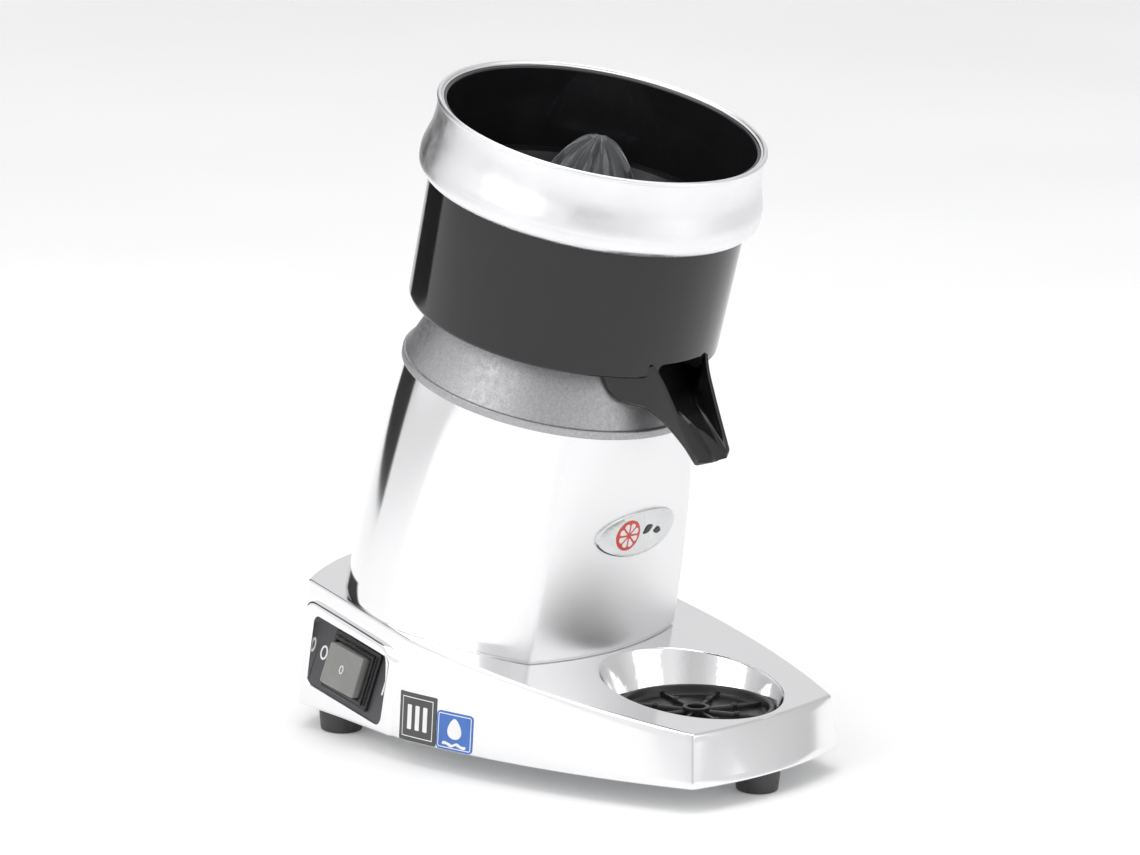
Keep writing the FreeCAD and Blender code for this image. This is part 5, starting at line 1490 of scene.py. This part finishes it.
def make_flag():
    """Dark curved card behind on the left, which shows only where the metal mirrors it."""
    a = np.radians(np.linspace(64.0, 98.0, 24))
    rows = []
    for radius, height in ((1.30, 0.0), (1.30, 1.0), (1.32, 1.0), (1.32, 0.0)):
        rows.append(np.stack([radius * np.cos(a), radius * np.sin(a), np.full(24, height)], -1))
    grid = np.stack(rows)
    points, faces = grid_shape(grid, wrap_rows=True, wrap_columns=False)
    ends = [np.arange(4) * 24, np.arange(4)[::-1] * 24 + 23]
    mesh = bpy.data.meshes.new("flag")
    mesh.from_pydata(points.tolist(), [], faces + [end.tolist() for end in ends])
    clean(mesh)
    flag = bpy.data.objects.new("flag", mesh)
    bpy.context.scene.collection.objects.link(flag)
    n = Nodes("flag_cloth")
    n.tint(n.noise(200.0, 3.0), (0.012, 0.012, 0.012), (0.02, 0.02, 0.02))
    n.shader.inputs["Roughness"].default_value = 0.9
    flag.data.materials.append(n.material)
    flag.visible_camera = False
    flag.visible_shadow = False
    flag.visible_diffuse = False


# brightness of the studio walls round the object, by share of a full turn from -X through -Y
WORLD_BANDS = (
    (0.02, 0.95), (0.09, 0.66), (0.14, 0.62), (0.20, 0.92), (0.34, 0.82), (0.42, 0.60), (0.52, 0.62),
    (0.60, 0.80), (0.665, 0.72), (0.685, 0.02), (0.765, 0.02), (0.785, 0.95), (0.88, 0.92), (0.96, 1.0),
)


def make_world(scene):
    """White studio walls of uneven brightness with a dark gap behind on the left."""
    world = bpy.data.worlds.new("studio")
    scene.world = world
    world.use_nodes = True
    tree = world.node_tree
    back = tree.nodes["Background"]
    back.inputs["Strength"].default_value = 1.0
    place = tree.nodes.new("ShaderNodeTexCoord")
    parts = tree.nodes.new("ShaderNodeSeparateXYZ")
    tree.links.new(place.outputs["Generated"], parts.inputs["Vector"])
    turn = tree.nodes.new("ShaderNodeMath")
    turn.operation = "ARCTAN2"
    tree.links.new(parts.outputs["Y"], turn.inputs[0])
    tree.links.new(parts.outputs["X"], turn.inputs[1])
    ramp = tree.nodes.new("ShaderNodeValToRGB")
    scaled = tree.nodes.new("ShaderNodeMapRange")
    scaled.inputs["From Min"].default_value = -math.pi
    scaled.inputs["From Max"].default_value = math.pi
    tree.links.new(turn.outputs[0], scaled.inputs["Value"])
    tree.links.new(scaled.outputs["Result"], ramp.inputs["Fac"])
    stops = ramp.color_ramp.elements
    stops[0].position, stops[0].color = 0.0, (1.0, 1.0, 1.0, 1.0)
    stops[1].position, stops[1].color = 1.0, (1.0, 1.0, 1.0, 1.0)
    for position, level in WORLD_BANDS:
        stop = stops.new(position)
        stop.color = (level, level, level * 1.01, 1.0)
    tree.links.new(ramp.outputs["Color"], back.inputs["Color"])
    white = tree.nodes.new("ShaderNodeBackground")
    white.inputs["Color"].default_value = (1.0, 1.0, 1.0, 1.0)
    path = tree.nodes.new("ShaderNodeLightPath")
    mix = tree.nodes.new("ShaderNodeMixShader")
    tree.links.new(path.outputs["Is Camera Ray"], mix.inputs[0])
    tree.links.new(back.outputs[0], mix.inputs[1])
    tree.links.new(white.outputs[0], mix.inputs[2])
    tree.links.new(mix.outputs[0], tree.nodes["World Output"].inputs["Surface"])


def make_lights(scene):
    """Three large soft panels: over the object, at the camera's left and at its right."""
    for name, place, size, power in (
        ("overhead", (0.0, 0.1, 1.9), 1.6, 14.0),
        ("key_left", (-1.7, 0.2, 1.2), 1.3, 7.0),
        ("fill_right", (0.6, -1.9, 0.9), 1.3, 4.0),
    ):
        light = bpy.data.lights.new(name, "AREA")
        light.shape = "SQUARE"
        light.size = size
        light.energy = power
        made = bpy.data.objects.new(name, light)
        made.location = place
        aim = Vector((0.0, 0.0, 0.15)) - Vector(place)
        made.rotation_euler = aim.to_track_quat("-Z", "Y").to_euler()
        scene.collection.objects.link(made)


def make_camera(scene, stage):
    """Camera at the stage's azimuth, elevation and roll, looking at its target."""
    camera = bpy.data.cameras.new("camera")
    camera.lens = stage.lens
    camera.sensor_width = 36.0
    camera.clip_start = 0.05
    camera.clip_end = 50.0
    made = bpy.data.objects.new("camera", camera)
    a, e = stage.azimuth, stage.elevation
    back = Vector((math.sin(a) * math.cos(e), -math.cos(a) * math.cos(e), math.sin(e)))
    place = Matrix.Translation(Vector(stage.target) + back * stage.distance)
    look = (-back).to_track_quat("-Z", "Y").to_matrix().to_4x4()
    made.matrix_world = place @ look @ Matrix.Rotation(stage.roll, 4, "Z")
    scene.collection.objects.link(made)
    scene.camera = made


OPERATORS = (
    JUICER_OT_stage,
    JUICER_OT_base,
    JUICER_OT_feet,
    JUICER_OT_tray,
    JUICER_OT_switch,
    JUICER_OT_housing,
    JUICER_OT_bowl,
    JUICER_OT_band,
    JUICER_OT_reamer,
    JUICER_OT_labels,
    JUICER_OT_finishes,
)


class JUICER_PT_panel(bpy.types.Panel):
    """Lists the steps and the sizes of the citrus press"""

    bl_idname = "JUICER_PT_panel"
    bl_label = "Citrus press"
    bl_space_type = "VIEW_3D"
    bl_region_type = "UI"
    bl_category = "Citrus press"

    def draw(self, context):
        column = self.layout.column(align=True)
        for operator in OPERATORS:
            column.operator(operator.bl_idname)
        for group in GROUPS:
            box = self.layout.box()
            settings = getattr(context.scene, group)
            for key in settings.bl_rna.properties.keys():
                if key not in ("rna_type", "name"):
                    box.prop(settings, key)


def register():
    for group in GROUPS.values():
        bpy.utils.register_class(group)
    for name, group in GROUPS.items():
        setattr(bpy.types.Scene, name, bpy.props.PointerProperty(type=group))
    for operator in OPERATORS:
        bpy.utils.register_class(operator)
    bpy.utils.register_class(JUICER_PT_panel)


def unregister():
    bpy.utils.unregister_class(JUICER_PT_panel)
    for operator in reversed(OPERATORS):
        bpy.utils.unregister_class(operator)
    for name in GROUPS:
        delattr(bpy.types.Scene, name)
    for group in reversed(tuple(GROUPS.values())):
        bpy.utils.unregister_class(group)


def main():
    register()
    for operator in OPERATORS:
        step = operator.bl_idname.split(".")[1]
        if getattr(bpy.ops.juicer, step)() != {"FINISHED"}:
            raise RuntimeError(operator.bl_label + " wasn't finished")


if __name__ == "__main__":
    main()
